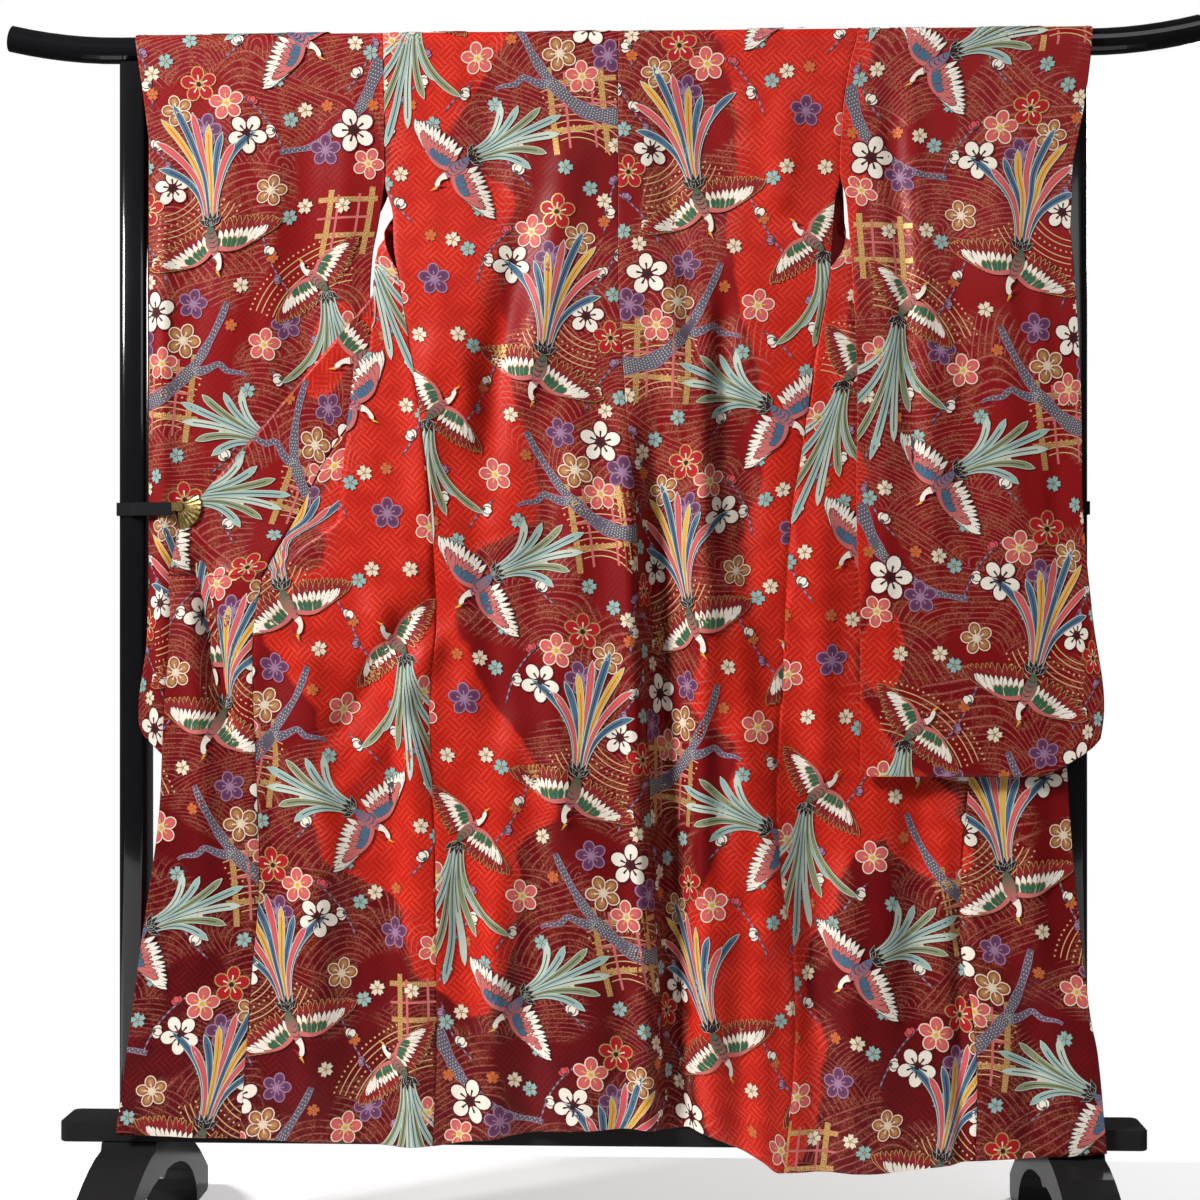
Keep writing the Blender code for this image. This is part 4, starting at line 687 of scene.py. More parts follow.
def frontPoints(side):
    half, pleat = halves[side], pleats[side]
    armhole, sideSeam, collarSeam, okumiSeam = (side + part for part in (
        "Armhole", "Side", "CollarSeam", "OkumiSeam"))
    gap = garment["seam"] / 2 * half["outward"]
    ends = front["columnEnds"]
    runs = [np.linspace(a, b, n + 1)[1:] for a, b, n in zip(ends, ends[1:], front["columns"])]
    steps = np.concatenate([(0,)] + runs)
    last = ends[-1]
    shares, knots = steps / last, np.arange(last + 1)
    hem = hemHeights(side, sideSeam, okumiSeam, shares)

    def pleated(h):
        outerX, innerX, startsBehind = (float(column(pleat, i, h)) for i in (1, 2, 3))
        outerY = float(curtain(outerX, h)) + startsBehind
        seamX, seamY = placeOn(collarSeam, h)
        if h > garment["sideSeamTop"]:
            startX, startY = placeOn(armhole, h)
        else:
            startX = placeOn(sideSeam, h)[0] + gap
            startY = float(curtain(startX, h))
        endX, endY = seamX - gap, float(settled(seamX, seamY, h))
        foldY, turnY, backY = (outerY + (endY - outerY) * share for share in front["pleatShares"])
        step = min(front["pleatTurn"], abs(innerX - outerX) / 4) * (1 if innerX > outerX else -1)
        # out to the fold, back behind it to the inner fold, and out again to the collar's seam
        xs, ys = [], []
        for count, x0, x1, y0, y1 in ((4, startX, outerX, startY, outerY),
                                      (5, outerX + step, innerX, foldY, turnY),
                                      (4, innerX - step, endX, backY, endY)):
            run = np.arange(count) / (count - 1)
            xs += list(mix(x0, x1, run))
            ys += list(mix(y0, y1, run))
        across, depth = np.interp(steps, knots, xs), np.interp(steps, knots, ys)
        if h <= garment["sideSeamTop"]:
            depth = np.where(steps <= 3, curtain(across, h), depth)
        return across, depth

    rows = []
    openX, openY = pleated(garment["hemTop"])
    for row in bodyRows():
        height, turn = rowAt(row, hem)
        h = float(height[0])
        if row[0] == "skirt":
            start, end = seamAt(sideSeam, height)[0] + gap, seamAt(okumiSeam, height)[0] - gap
            opened = soften((garment["hemTop"] - height) / front["fadeBelow"])
            across = mix(openX, mix(start, end, shares), opened)
            # the edges stay on their seams
            atStart, atEnd = (np.maximum(1 - away / front["seamReach"], 0) for away in (steps, last - steps))
            across = across + (start[0] - across[0]) * atStart + (end[-1] - across[-1]) * atEnd
            depth = mix(openY - curtain(openX, garment["hemTop"]), 0, opened) + curtain(across, height)
        elif h > garment["unfoldedAbove"]:
            gather, hook = (soften((front[key] - h) / (front[key] - front["gatherTo"]))
                            for key in ("gatherFrom", "hookFrom"))
            hook = front["hook"] * hook
            share = mix(shares, np.interp(steps, knots, front["gathered"]), gather)
            startX, startY = placeOn(armhole, h)
            startX = mix(startX, half["shoulder"], turn / 90) - gap
            seamX, seamY = placeOn(collarSeam, h)
            seamX = mix(seamX, half["neck"], turn / 90) + gap
            nearStart, nearSeam = (np.maximum(1 - away / front["hookReach"], 0) ** front["hookCurve"]
                                   for away in (steps, last - steps))
            across = mix(startX, seamX, share)
            depth = mix(startY + hook, seamY - hook, share) + hook * (nearSeam - nearStart)
        else:
            across, depth = pleated(h)
        rows.append((overBar(across, depth, height, turn), upTheCloth(height, turn)))
    return asArrays(rows)


for side, half in halves.items():
    points, along = frontPoints(side)
    sink = dip(points) * (points[..., 2] < garment["sideSeamTop"])
    makeSheet("front_" + side, points, along, 0, half["outward"], sink)
print("fronts laid out")


# Overlap panels
okumi = {"columns": 18, "width": 0.14, "length": 0.81}


def okumiPoints(side):
    edge, seam, outward = side + "OkumiEdge", side + "OkumiSeam", halves[side]["outward"]
    shares = closerAtEdges(okumi["columns"], okumi["width"])
    hem = hemHeights(side, edge, seam, shares)
    rows = []
    for share in np.linspace(0, 1, math.ceil(okumi["length"] / garment["grid"]) + 1):
        height = mix(garment["hemTop"] - garment["seam"], hem, share)
        across = mix(seamAt(edge, height)[0], seamAt(seam, height)[0] + outward * garment["seam"] / 2, shares)
        rows.append((overBar(across, curtain(across, height), height, 0), height))
    return asArrays(rows)


for side, half in halves.items():
    points, along = okumiPoints(side)
    makeSheet("okumi_" + side, points, along, -1, -half["outward"], dip(points, (False, True)))
print("overlap panels laid out")

# Collar
collar = {
    "neckSteps": 18, "neckEdge": 1.685, "wrapShare": 0.6,
    "columns": 22, "barDepth": 0.0285,
    "crown": 0.003,          # rise of its free edge at the nape
    "lap": 0.0019,           # how far it lies behind the front where it turns outwards
    "lapFrom": 1.69, "lapTo": 1.655,
    "clear": 0.0015, "clearFrom": 1.44, "clearTo": 1.459,     # kept off the pleat
    # seam height, free edge height that faces it
    "pairs": ((1.7445, 1.668), (1.69, 1.65), (1.65, 1.626), (1.62, 1.604), (1.556, 1.55),
              (1.495, 1.498), (1.415, 1.44), (1.3, 1.366), (1.06, 1.11), (1.02, 1.046),
              (0.976, 0.976)),
}


def collarSections():
    heights = [value for kind, value in bodyRows() if kind == "height"] + [garment["hemTop"]]
    pairs = collar["pairs"]
    lapRange, clearRange = collar["lapFrom"] - collar["lapTo"], collar["clearTo"] - collar["clearFrom"]

    def onSide(side):
        seam, edge = side + "CollarSeam", side + "CollarEdge"
        outward, neck = halves[side]["outward"], halves[side]["neck"]
        found = []
        for h in reversed(heights):
            edgeHeight = float(easeThrough([p[0] for p in pairs], [p[1] for p in pairs], h))
            x, y = placeOn(seam, h)
            if h <= garment["unfoldedAbove"]:
                y += collar["clear"] * float(soften((h - collar["clearFrom"]) / clearRange))
                x += outward * garment["seam"] / 2
            else:
                lapped = float(soften((collar["lapFrom"] - h) / lapRange))
                x -= outward * mix(garment["seam"] / 2, 0, lapped)
                y += collar["lap"] * lapped
            found.append((0, (x, y, h), (*placeOn(edge, edgeHeight), edgeHeight)))
        barX, barY = placeOn(seam, garment["barHeight"])
        for turn in reversed(wrapTurns):
            edgeHeight = mix(pairs[0][1], collar["neckEdge"], turn / 90)
            x = mix(barX, neck, turn / 90) - outward * garment["seam"] / 2
            place = overBar(x, barY, garment["barHeight"], turn)
            found.append((turn, tuple(place), (*placeOn(edge, edgeHeight), edgeHeight)))
        return found

    left, right = onSide("left"), onSide("right")
    neckRows = []
    for step in range(1, collar["neckSteps"]):
        share = step / collar["neckSteps"]
        start, end = (mix(np.array(left[-1][i]), np.array(right[-1][i]), share) for i in (1, 2))
        end[2] += collar["crown"] * math.sin(math.pi * share)
        neckRows.append((90, tuple(start), tuple(end)))
    return left + neckRows + right[::-1]


def collarPoints():
    shares = np.linspace(0, 1, collar["columns"])
    barDepth, barHeight = collar["barDepth"], garment["barHeight"]
    points = []
    for turn, seamPoint, edgePoint in collarSections():
        seamPoint, edgePoint = np.array(seamPoint), np.array(edgePoint)
        wrapped = collar["wrapShare"] * turn / 90
        start = seamPoint
        if turn:
            start = np.array((mix(seamPoint[0], edgePoint[0], wrapped / 2), barDepth, barHeight))
        run = np.clip((shares - wrapped) / (1 - wrapped), 0, 1)[:, None]
        row = start + (edgePoint - start) * run
        row[:, 1] = settled(row[:, 0], row[:, 1], row[:, 2])
        if turn:
            lean = np.radians(turn * (1 - shares / wrapped))
            onBar = np.stack((mix(seamPoint[0], edgePoint[0], shares / 2), barDepth * np.cos(lean),
                              barHeight + garment["wrapRise"] * np.sin(lean)), axis=-1)
            row = np.where((shares < wrapped)[:, None], onBar, row)
        points.append(row)
    points = np.array(points)
    along = alongRows(points[None, :, collar["columns"] // 2])[0]
    return points, np.repeat(along[:, None], len(shares), axis=1)


points, along = collarPoints()
makeSheet("collar", points, along, 0, -1)
print("collar laid out")

# Sleeves: height, then across and depth at the body and at the cuff, near layer and far layer
sleeveSections = {
    "left": (
        (1.7445, -0.312, -0.0275, -0.671, -0.0285, -0.32, 0.0275, -0.682, 0.03),
        (1.64, -0.3104, -0.0283, -0.656, -0.029, -0.3117, 0.0194, -0.668, 0.031),
        (1.6, -0.3098, -0.0286, -0.652, -0.029, -0.3085, 0.0164, -0.654, 0.031),
        (1.556, -0.3091, -0.0289, -0.652, -0.029, -0.305, 0.013, -0.648, 0.029),
        (1.52, -0.313, -0.0275, -0.652, -0.029, -0.314, 0.006, -0.647, 0.018),
        (1.48, -0.32, -0.024, -0.652, -0.029, -0.333, -0.002, -0.647, 0.005),
        (1.44, -0.328, -0.021, -0.652, -0.029, -0.337, -0.006, -0.649, -0.008),
        (1.38, -0.332, -0.019, -0.652, -0.029, -0.338, -0.009, -0.6495, -0.017),
        (1.3, -0.332, -0.019, -0.652, -0.029, -0.338, -0.009, -0.65, -0.021),
        (0.96, -0.332, -0.019, -0.652, -0.0295, -0.338, -0.01, -0.65, -0.022),
        (0.92, -0.332, -0.022, -0.652, -0.035, -0.338, -0.013, -0.65, -0.028),
        (0.88, -0.332, -0.025, -0.653, -0.0385, -0.338, -0.016, -0.653, -0.031),
        (0.789, -0.332, -0.028, -0.664, -0.04, -0.338, -0.019, -0.664, -0.0325),
        (0.768, -0.332, -0.028, -0.664, -0.04, -0.338, -0.019, -0.664, -0.033),
        (0.737, -0.332, -0.028, -0.652, -0.04, -0.338, -0.019, -0.652, -0.033),
        (0.69, -0.332, -0.028, -0.632, -0.039, -0.338, -0.02, -0.632, -0.032)),
    "right": (
        (1.7445, 0.3685, -0.0275, 0.703, -0.029, 0.372, 0.0275, 0.71, 0.03),
        (1.713, 0.36, -0.028, 0.7, -0.029, 0.3685, 0.0242, 0.702, 0.031),
        (1.64, 0.3484, -0.0285, 0.69, -0.03, 0.3604, 0.0167, 0.668, 0.031),
        (1.6, 0.3458, -0.0287, 0.682, -0.031, 0.3559, 0.0126, 0.653, 0.031),
        (1.556, 0.3444, -0.0289, 0.674, -0.033, 0.351, 0.008, 0.646, 0.028),
        (1.512, 0.353, -0.036, 0.672, -0.037, 0.359, -0.008, 0.645, 0.012),
        (1.466, 0.356, -0.046, 0.669, -0.043, 0.37, -0.031, 0.645, -0.01),
        (1.42, 0.359, -0.054, 0.672, -0.049, 0.373, -0.0445, 0.648, -0.029),
        (1.376, 0.361, -0.059, 0.674, -0.054, 0.374, -0.0505, 0.66, -0.042),
        (1.32, 0.364, -0.0615, 0.677, -0.057, 0.375, -0.0535, 0.672, -0.048),
        (1.224, 0.366, -0.062, 0.681, -0.059, 0.375, -0.0545, 0.678, -0.0515),
        (1.08, 0.365, -0.062, 0.683, -0.06, 0.375, -0.055, 0.681, -0.053),
        (0.918, 0.37, -0.062, 0.697, -0.06, 0.376, -0.055, 0.694, -0.053),
        (0.793, 0.371, -0.062, 0.713, -0.06, 0.376, -0.055, 0.71, -0.053),
        (0.742, 0.371, -0.062, 0.707, -0.06, 0.376, -0.055, 0.704, -0.053),
        (0.69, 0.371, -0.061, 0.664, -0.059, 0.376, -0.0555, 0.662, -0.0535)),
}
# folds of the near layer, in the same columns as the main folds
sleeveFolds = {
    "left": (
        (1.62, -0.629, 0.66, -0.631, 0.006, 0.011), (1.7, -0.42, 1.1, -0.44, -0.005, 0.03),
        (1.7, -0.53, 1.25, -0.54, 0.004, 0.03), (1.65, -0.47, 1.2, -0.48, 0.0022, 0.016),
        (1.6, -0.59, 1.15, -0.585, -0.0022, 0.016), (1.69, -0.36, 1.3, -0.375, 0.002, 0.014)),
    "right": (
        (1.74, 0.414, 1.05, 0.452, -0.007, 0.016), (1.74, 0.436, 0.9, 0.48, 0.005, 0.018),
        (1.65, 0.56, 0.95, 0.59, 0.005, 0.03), (1.2, 0.64, 0.64, 0.655, -0.003, 0.022),
        (1.6, 0.5, 1.0, 0.525, -0.0025, 0.014), (1.5, 0.62, 0.9, 0.63, 0.0022, 0.014),
        (1.3, 0.4, 0.8, 0.41, 0.0022, 0.01)),
}
sleeve = {
    "columns": 46, "width": 0.34, "bottom": 0.692, "cornerRise": 0.055, "cornerStart": 0.84,
    "nearSteps": 150, "wrapSteps": 14, "farSteps": 90,
}


def sleevePoints(side):
    sections, folds, outward = sleeveSections[side], sleeveFolds[side], halves[side]["outward"]
    shares = closerAtEdges(sleeve["columns"], sleeve["width"])
    corner = np.maximum(shares - sleeve["cornerStart"], 0) / (1 - sleeve["cornerStart"])
    bottom = sleeve["bottom"] + sleeve["cornerRise"] * corner ** 2
    barHeight, rise = garment["barHeight"], garment["wrapRise"]

    def read(layer, height):
        at = 1 if layer == "near" else 5
        body = column(sections, at, height) + outward * garment["seam"] / 2
        across = mix(body, column(sections, at + 2, height), shares)
        depth = mix(column(sections, at + 1, height), column(sections, at + 3, height), shares)
        if layer == "near":
            depth = depth - foldDepth(folds, across, height)
        return across, depth

    rows = []
    for share in np.linspace(0, 1, sleeve["nearSteps"], endpoint=False):
        height = mix(bottom, barHeight, share)
        rows.append((overBar(*read("near", height), height, 0), height))
    top = np.full_like(shares, barHeight)
    (nearX, nearY), (farX, farY) = read("near", top), read("far", top)
    for turn in np.linspace(0, math.pi, sleeve["wrapSteps"], endpoint=False):
        reach = np.where(turn < math.pi / 2, nearY, -farY)
        across = mix(nearX, farX, turn / math.pi)
        place = np.stack((across, reach * math.cos(turn), top + rise * math.sin(turn)), axis=-1)
        rows.append((place, top + rise * turn))
    for share in np.linspace(0, 1, sleeve["farSteps"] + 1):
        height = mix(barHeight, bottom, share)
        place = overBar(*read("far", height), height, 0)
        rows.append((place, 2 * barHeight + rise * math.pi - height))
    return asArrays(rows)


for side, half in halves.items():
    points, along = sleevePoints(side)
    makeSheet("sleeve_" + side, points, along, 0, half["outward"])
print("sleeves laid out")

# The print: one length of it, drawn flat in metres, repeats up every piece of the cloth
inks = {                      # the fourth number is the share of gilt
    "white": (0.76, 0.7, 0.6, 0), "cream": (0.7, 0.58, 0.42, 0), "black": (0.01, 0.009, 0.011, 0),
    "wine": (0.07, 0.004, 0.008, 0), "pink": (0.56, 0.075, 0.085, 0), "rose": (0.5, 0.13, 0.12, 0),
    "red": (0.34, 0.008, 0.012, 0), "purple": (0.115, 0.045, 0.105, 0),
    "plum": (0.08, 0.022, 0.065, 0), "lilac": (0.3, 0.17, 0.27, 0), "gold": (0.58, 0.4, 0.14, 0.7),
    "yellow": (0.62, 0.36, 0.05, 0), "amber": (0.6, 0.13, 0.025, 0.2), "teal": (0.25, 0.39, 0.36, 0),
    "blue": (0.045, 0.125, 0.205, 0), "navy": (0.02, 0.035, 0.075, 0), "slate": (0.05, 0.06, 0.065, 0),
    "sage": (0.2, 0.24, 0.12, 0), "green": (0.014, 0.11, 0.062, 0), "maroon": (0.2, 0.012, 0.014, 0),
    "mist": (0.44, 0.52, 0.44, 0), "straw": (0.66, 0.43, 0.2, 0.2), "bark": (0.09, 0.085, 0.115, 0),
}
printLength = {"across": 0.37, "up": 0.6, "layer": 0.0001}
drawn = {"points": [], "faces": [], "colours": [], "motifs": [], "motifOf": []}


def startMotif(place, onScarlet=True):
    # what is laid from here on is one motif; some are left off the scarlet ground
    drawn["motifs"].append((place[0], place[1], onScarlet))


def lay(points, colours, faces, layer):
    # add facets to the drawing, each turned to face the viewer
    start = len(drawn["points"])
    points = np.asarray(points, float)
    drawn["points"] += [(float(x), float(y), layer * printLength["layer"]) for x, y in points]
    drawn["colours"] += [tuple(float(part) for part in colour) for colour in colours]
    for face in faces:
        x, y = points[list(face)].T
        area = (x * np.roll(y, -1) - np.roll(x, -1) * y).sum()
        drawn["faces"].append(tuple(start + i for i in (face if area > 0 else face[::-1])))
        drawn["motifOf"].append(len(drawn["motifs"]) - 1)


def turned(points, place, turn=0.0, size=1.0):
    c, s = math.cos(math.radians(turn)) * size, math.sin(math.radians(turn)) * size
    points = np.asarray(points, float)
    return np.stack((place[0] + points[:, 0] * c - points[:, 1] * s,
                     place[1] + points[:, 0] * s + points[:, 1] * c), axis=-1)


def blot(place, outline, ink, layer, middleInk=None, rim=None, rimWidth=0.0):
    # a filled shape round its middle, with a band of another ink along its edge
    outline = np.asarray(outline)
    middle = outline.mean(axis=0)
    away = outline - middle
    reach = np.linalg.norm(away, axis=1)[:, None]
    steps = len(outline)
    rows = [(middle[None], inks[middleInk or ink])]
    if reach.max() > 0.0075:
        rows.append((middle + away * 0.55, mix(np.array(inks[middleInk or ink]), np.array(inks[ink]), 0.5)))
    rows.append((outline, inks[ink]))
    if rim:
        rows += [(outline, inks[rim]), (middle + away * (1 + rimWidth / reach), inks[rim])]
    points = np.vstack([row for row, colour in rows]) + np.asarray(place)
    colours = [colour for row, colour in rows for point in row]
    faces = [(0, i + 1, (i + 1) % steps + 1) for i in range(steps)]
    for ring in range(len(rows) - 2):
        if rim and ring == len(rows) - 4:          # the shape's own edge ends here and the rim's starts
            continue
        start = 1 + ring * steps
        faces += [(start + i, start + steps + i, start + steps + (i + 1) % steps, start + (i + 1) % steps)
                  for i in range(steps)]
    lay(points, colours, faces, layer)


def oval(width, height, steps=12):
    turns = np.linspace(0, 2 * math.pi, steps, endpoint=False)
    return np.stack((np.cos(turns) * width / 2, np.sin(turns) * height / 2), axis=-1)


def sideways(line):
    # the direction square to a line, at each of its points
    along = np.gradient(line, axis=0)
    along /= np.linalg.norm(along, axis=1)[:, None] + 1e-9
    return np.stack((-along[:, 1], along[:, 0]), axis=-1)


def ribbon(line, widths, ink, layer, endInk=None):
    # a band along a line, of one width or with its width given at each point
    line = np.asarray(line, float)
    aside = sideways(line) * np.broadcast_to(widths, len(line))[:, None] / 2
    points = np.empty((len(line) * 2, 2))
    points[0::2], points[1::2] = line + aside, line - aside
    shares = np.repeat(np.linspace(0, 1, len(line)), 2)[:, None]
    colours = mix(np.array(inks[ink]), np.array(inks[endInk or ink]), shares)
    faces = [(2 * i + 1, 2 * i + 3, 2 * i + 2, 2 * i) for i in range(len(line) - 1)]
    lay(points, colours, faces, layer)


def throughControl(start, control, end, steps):
    # a line from start to end that leans towards the control point between them
    start, control, end = (np.asarray(point, float) for point in (start, control, end))
    t = np.linspace(0, 1, steps + 1)[:, None]
    return start * (1 - t) ** 2 + control * 2 * t * (1 - t) + end * t ** 2


def bow(start, end, bend, steps):
    # a line from start to end that bows aside by bend, as a share of its length
    run = np.subtract(end, start)
    middle = np.add(start, end) / 2 + np.array((-run[1], run[0])) * bend
    return throughControl(start, middle, end, steps)


blossomKinds = {              # outline, petal, petal's middle, stamens, size of the whole
    "white": ("wine", "white", "white", "black", 0.062),
    "pink": ("cream", "pink", "rose", "yellow", 0.05),
    "red": ("gold", "red", "red", "cream", 0.052),
    "purple": ("lilac", "purple", "plum", "lilac", 0.048),
    "gilt": ("cream", "maroon", "gold", "cream", 0.05),
}


def blossom(place, kind, turn=0.0, scale=1.0, layer=6):
    rim, petal, heart, stamen, size = blossomKinds[kind]
    size = size * scale
    for i in range(5):
        angle = turn + 72 * i
        out = turned([(size * 0.3, 0)], (0, 0), angle)[0]
        shape = turned(oval(size * 0.37, size * 0.315, 13), out, angle)
        blot(place, shape, petal, layer + (i % 2), heart, rim, size * 0.036)
        stroke = turned(bow((size * 0.09, 0), (size * 0.26, 0), 0, 2), place, angle)
        ribbon(stroke, np.array((0.4, 0.75, 1.0)) * size * 0.05, stamen, layer + 4)
    eye = "black" if kind in ("white", "red") else stamen
    for share, ink, above in ((0.22, rim, 2), (0.14, eye, 4)):
        blot(place, oval(size * share, size * share, 8), ink, layer + above)


def smallBlossom(place, ink, turn=0.0, size=0.025, layer=5):
    petal = np.array(((0.05, 0), (0.22, -0.16), (0.45, -0.12), (0.39, 0), (0.45, 0.12), (0.22, 0.16))) * size
    for i in range(5):
        blot((0, 0), turned(petal, place, turn + 72 * i), ink, layer, None, "slate", size * 0.03)
    blot(place, oval(size * 0.13, size * 0.13, 6), "gold", layer + 3)


def bud(place, ink, turn, size, layer=4):
    # three petals out of a dark calyx
    for i, aside in enumerate((-42, 42, 0)):
        out = turned([(size * 0.36, 0)], (0, 0), turn + aside)[0]
        shape = turned(oval(size * 0.8, size * 0.62, 8), out, turn + aside)
        blot(place, shape, ink, layer + (i == 2) * 2, None, "wine", size * 0.08)
    blot(place, oval(size * 0.44, size * 0.36, 6), "slate", layer + 4)


def twig(start, end, bend, buds):
    steps = int(np.linalg.norm(np.subtract(end, start)) / 0.005)
    line = bow(start, end, bend, steps)
    for i in range(steps):                         # short stitched dashes
        ribbon(line[i:i + 2], 0.0023, "lilac" if i % 2 else "slate", 2)
    heading = math.degrees(math.atan2(end[1] - start[1], end[0] - start[0]))
    for i, ink in enumerate(buds):
        spot = line[int((i + 0.7) / len(buds) * steps)]
        side = 65 if i % 2 else -65
        bud(spot, ink, heading + side, {"white": 0.0165, "pink": 0.014}.get(ink, 0.0125))


def plume(line, ink, width, layer):
    # one long tail feather: a pale outline, the colour, and its darker quill
    t = np.linspace(0, 1, len(line))
    body = np.minimum(0.34 + 0.85 * t, np.sqrt(np.clip((1 - t) * 8, 0, 1))) * width
    ribbon(line, body, ink, layer)
    aside = sideways(line) * body[:, None] / 2
    for edge in (line + aside, line - aside):
        ribbon(edge, 0.0011, "mist", layer + 1)
    quill = {"yellow": "amber", "pink": "rose", "blue": "navy"}.get(ink, "slate")
    ribbon(line[1:-2], body[1:-2] * 0.1 + 0.0005, quill, layer + 1)


def tuft(place, turn, layer):
    # black pointed feathers where the tail begins
    for i, aside in enumerate((-48, -24, 0, 24, 48, -36, -12, 12, 36)):
        length = 0.023 if i < 5 else 0.015
        leaf = [(0, 0), (length * 0.5, -0.0038), (length, 0), (length * 0.5, 0.0038)]
        blot((0, 0), turned(leaf, place, turn + aside), "black", layer + (i > 4), None, "mist", 0.0006)


def tail(place, turn, colours, lengths, width=0.01, spread=1.05):
    # plumes that leave together and curve apart, like a fountain
    count = len(colours)
    for i in sorted(range(count), key=lambda i: -abs(i / (count - 1) - 0.5)):
        share = i / (count - 1) - 0.5
        reach = lengths[i % len(lengths)]
        tip = (reach * (1 - 0.9 * share ** 2), share * spread * reach)
        line = throughControl((0.004, share * 0.016), (reach * 0.58, share * 0.014), tip,
                              max(int(reach / 0.0085), 7))
        plume(turned(line, place, turn), colours[i], width, 8 + 2 * (i % 2))
    tuft(place, turn, 13)


# rows of feathers on a wing: how many, where along the bone, length, width, inks, angles from the head
wingRows = (
    (13, 0.1, 1.0, 0.056, 0.011, "far", "farEdge", (168, 108)),
    (11, 0.05, 0.97, 0.036, 0.0094, "cover", "coverEdge", (170, 116)),
    (6, 0.02, 0.6, 0.021, 0.0098, "coat", "farEdge", (174, 140)))


def wing(place, turn, flip, size, dress, layer):
    def out(points):
        points = np.asarray(points, float) * size
        points[:, 1] *= flip
        return turned(points, place, turn)

    bone = bow((0.006, 0.006), (0.012, 0.064), -0.3, 20)
    t = np.linspace(0, 1, 8)
    body = np.minimum(0.62 + 0.5 * t, np.sqrt(np.clip((1.02 - t) * 3.2, 0, 1)))     # round at the tip
    for count, first, last, length, width, part, edge, angles in wingRows:
        for i in range(count):
            share = i / (count - 1)
            base = bone[int(round(mix(first, last, share) * 20))]
            angle = mix(angles[0], angles[1], share ** 0.9)
            reach = length * (0.74 + 0.34 * math.sin(math.pi * (0.16 + 0.62 * share)))
            tip, inner = (turned([(value, 0)], base, angle)[0] for value in (reach, reach - 0.0011))
            for end, wider, ink, above in ((tip, 0.0004, edge, 0), (inner, -0.0014, part, 1)):
                ribbon(out(bow(base, end, -0.1, 7)), (body * width + wider) * size, dress[ink],
                       layer + above + (i % 2))
        layer += 2
    ribbon(out(bone), np.linspace(0.0085, 0.003, 21) * size, dress["bone"], layer + 1)


def bird(place, turn, size, dress, tailColours, tailLengths, tailTurn):
    # a long-tailed bird seen from above with its wings spread, flying towards turn
    for flip in (1, -1):
        wing(place, turn, flip, size, dress, 13)
    tail(turned([(-0.034 * size, 0)], place, turn)[0], turn + 180 + tailTurn, tailColours, tailLengths)

    def stroke(line, widths, ink, layer, wider=0.0, endInk=None):
        # widths in millimetres
        ribbon(turned(line, place, turn, size), (np.array(widths) * 0.001 + wider) * size, ink, layer, endInk)

    stroke(bow((-0.036, 0), (0.02, 0), 0.08, 8), (5, 13, 18, 20, 20, 18, 14, 11, 8), dress["coat"], 21,
           endInk="rose")
    for i in range(5):                             # bars across the back
        start = -0.026 + 0.0085 * i
        stroke([(start, -0.007), (start + 0.0035, 0), (start, 0.007)], (0.8, 2, 0.8), "navy", 22)
    neck = bow((0.016, 0), (0.042, 0.006), -0.35, 7)
    for ink, layer, wider in (("wine", 22, 0.0014), ("white", 23, 0.0)):
        stroke(neck, (13, 11, 9.2, 8, 7.4, 7.8, 8.6, 5.6), ink, layer, wider)
    stroke(bow((0.04, 0.008), (0.027, 0.016), 0.3, 4), (3.4, 3, 2.4, 1.4, 0.4), "red", 24)
    beak = turned([(0.043, 0.0092), (0.056, 0.0044), (0.043, 0.004)], place, turn, size)
    blot((0, 0), beak, "yellow", 24)
    blot(turned([(0.0385, 0.0072)], place, turn, size)[0], oval(0.0022 * size, 0.0022 * size, 6), "black", 25)


def lattice(corner, width, height, turn):
    # broad gilt bars over thin pale ones: start, end, width of the bar, ink, layer
    bars = [((width * s, -0.008), (width * s - 0.006, height), 0.0085, "gold", 1) for s in (0.1, 0.84)]
    bars += [((-0.006, height * s), (width, height * s + 0.004), 0.0075, "gold", 0) for s in (0.22, 0.8)]
    bars += [((width * s, 0), (width * s - 0.004, height - 0.008), 0.0036, "rose", 2) for s in (0.3, 0.68)]
    bars.append(((0.004, height * 0.52), (width, height * 0.54), 0.0034, "rose", 2))
    for start, end, broad, ink, layer in bars:
        ribbon(turned(bow(start, end, 0.01, 12), corner, turn), broad, ink, layer)


def arcs(centre, radii, start, end):
    # bands of arcs from a fan, with a row of dots between some of them
    for i, radius in enumerate(radii):
        steps = int(math.radians(end - start) * radius / 0.008)
        angles = np.radians(np.linspace(start, end, steps + 1))
        line = np.stack((np.cos(angles), np.sin(angles)), axis=-1) * radius + np.array(centre)
        if i % 3 == 2:
            for spot in line:
                blot(spot, oval(0.0034, 0.0034, 5), "straw", 0)
        else:
            ribbon(line, 0.0015, "straw", 0)


def checkedBranch(start, control, end, width):
    run = np.linalg.norm(np.subtract(control, start)) + np.linalg.norm(np.subtract(end, control))
    steps = int(run / 0.0048)
    t = np.linspace(0, 1, steps + 1)
    line = throughControl(start, control, end, steps)
    line = line + np.stack((np.sin(t * 11), np.cos(t * 13)), axis=-1) * 0.003
    widths = width * (1 - 0.7 * t) * (1 + 0.14 * np.sin(np.arange(steps + 1) * 0.55))
    ribbon(line, widths, "bark", 3)
    aside = sideways(line)
    for side in (-0.5, 0.5):
        ribbon(line + aside * widths[:, None] * side, 0.001, "lilac", 4)
    for i in range(1, steps):
        count = int(widths[i] / 0.0042)
        for k in range(count):
            share = (k + 0.5 + (i % 2 - 0.5) * 0.5) / count - 0.5
            blot(line[i] + aside[i] * widths[i] * share * 0.82, oval(0.0021, 0.0021, 4), "mist", 5)


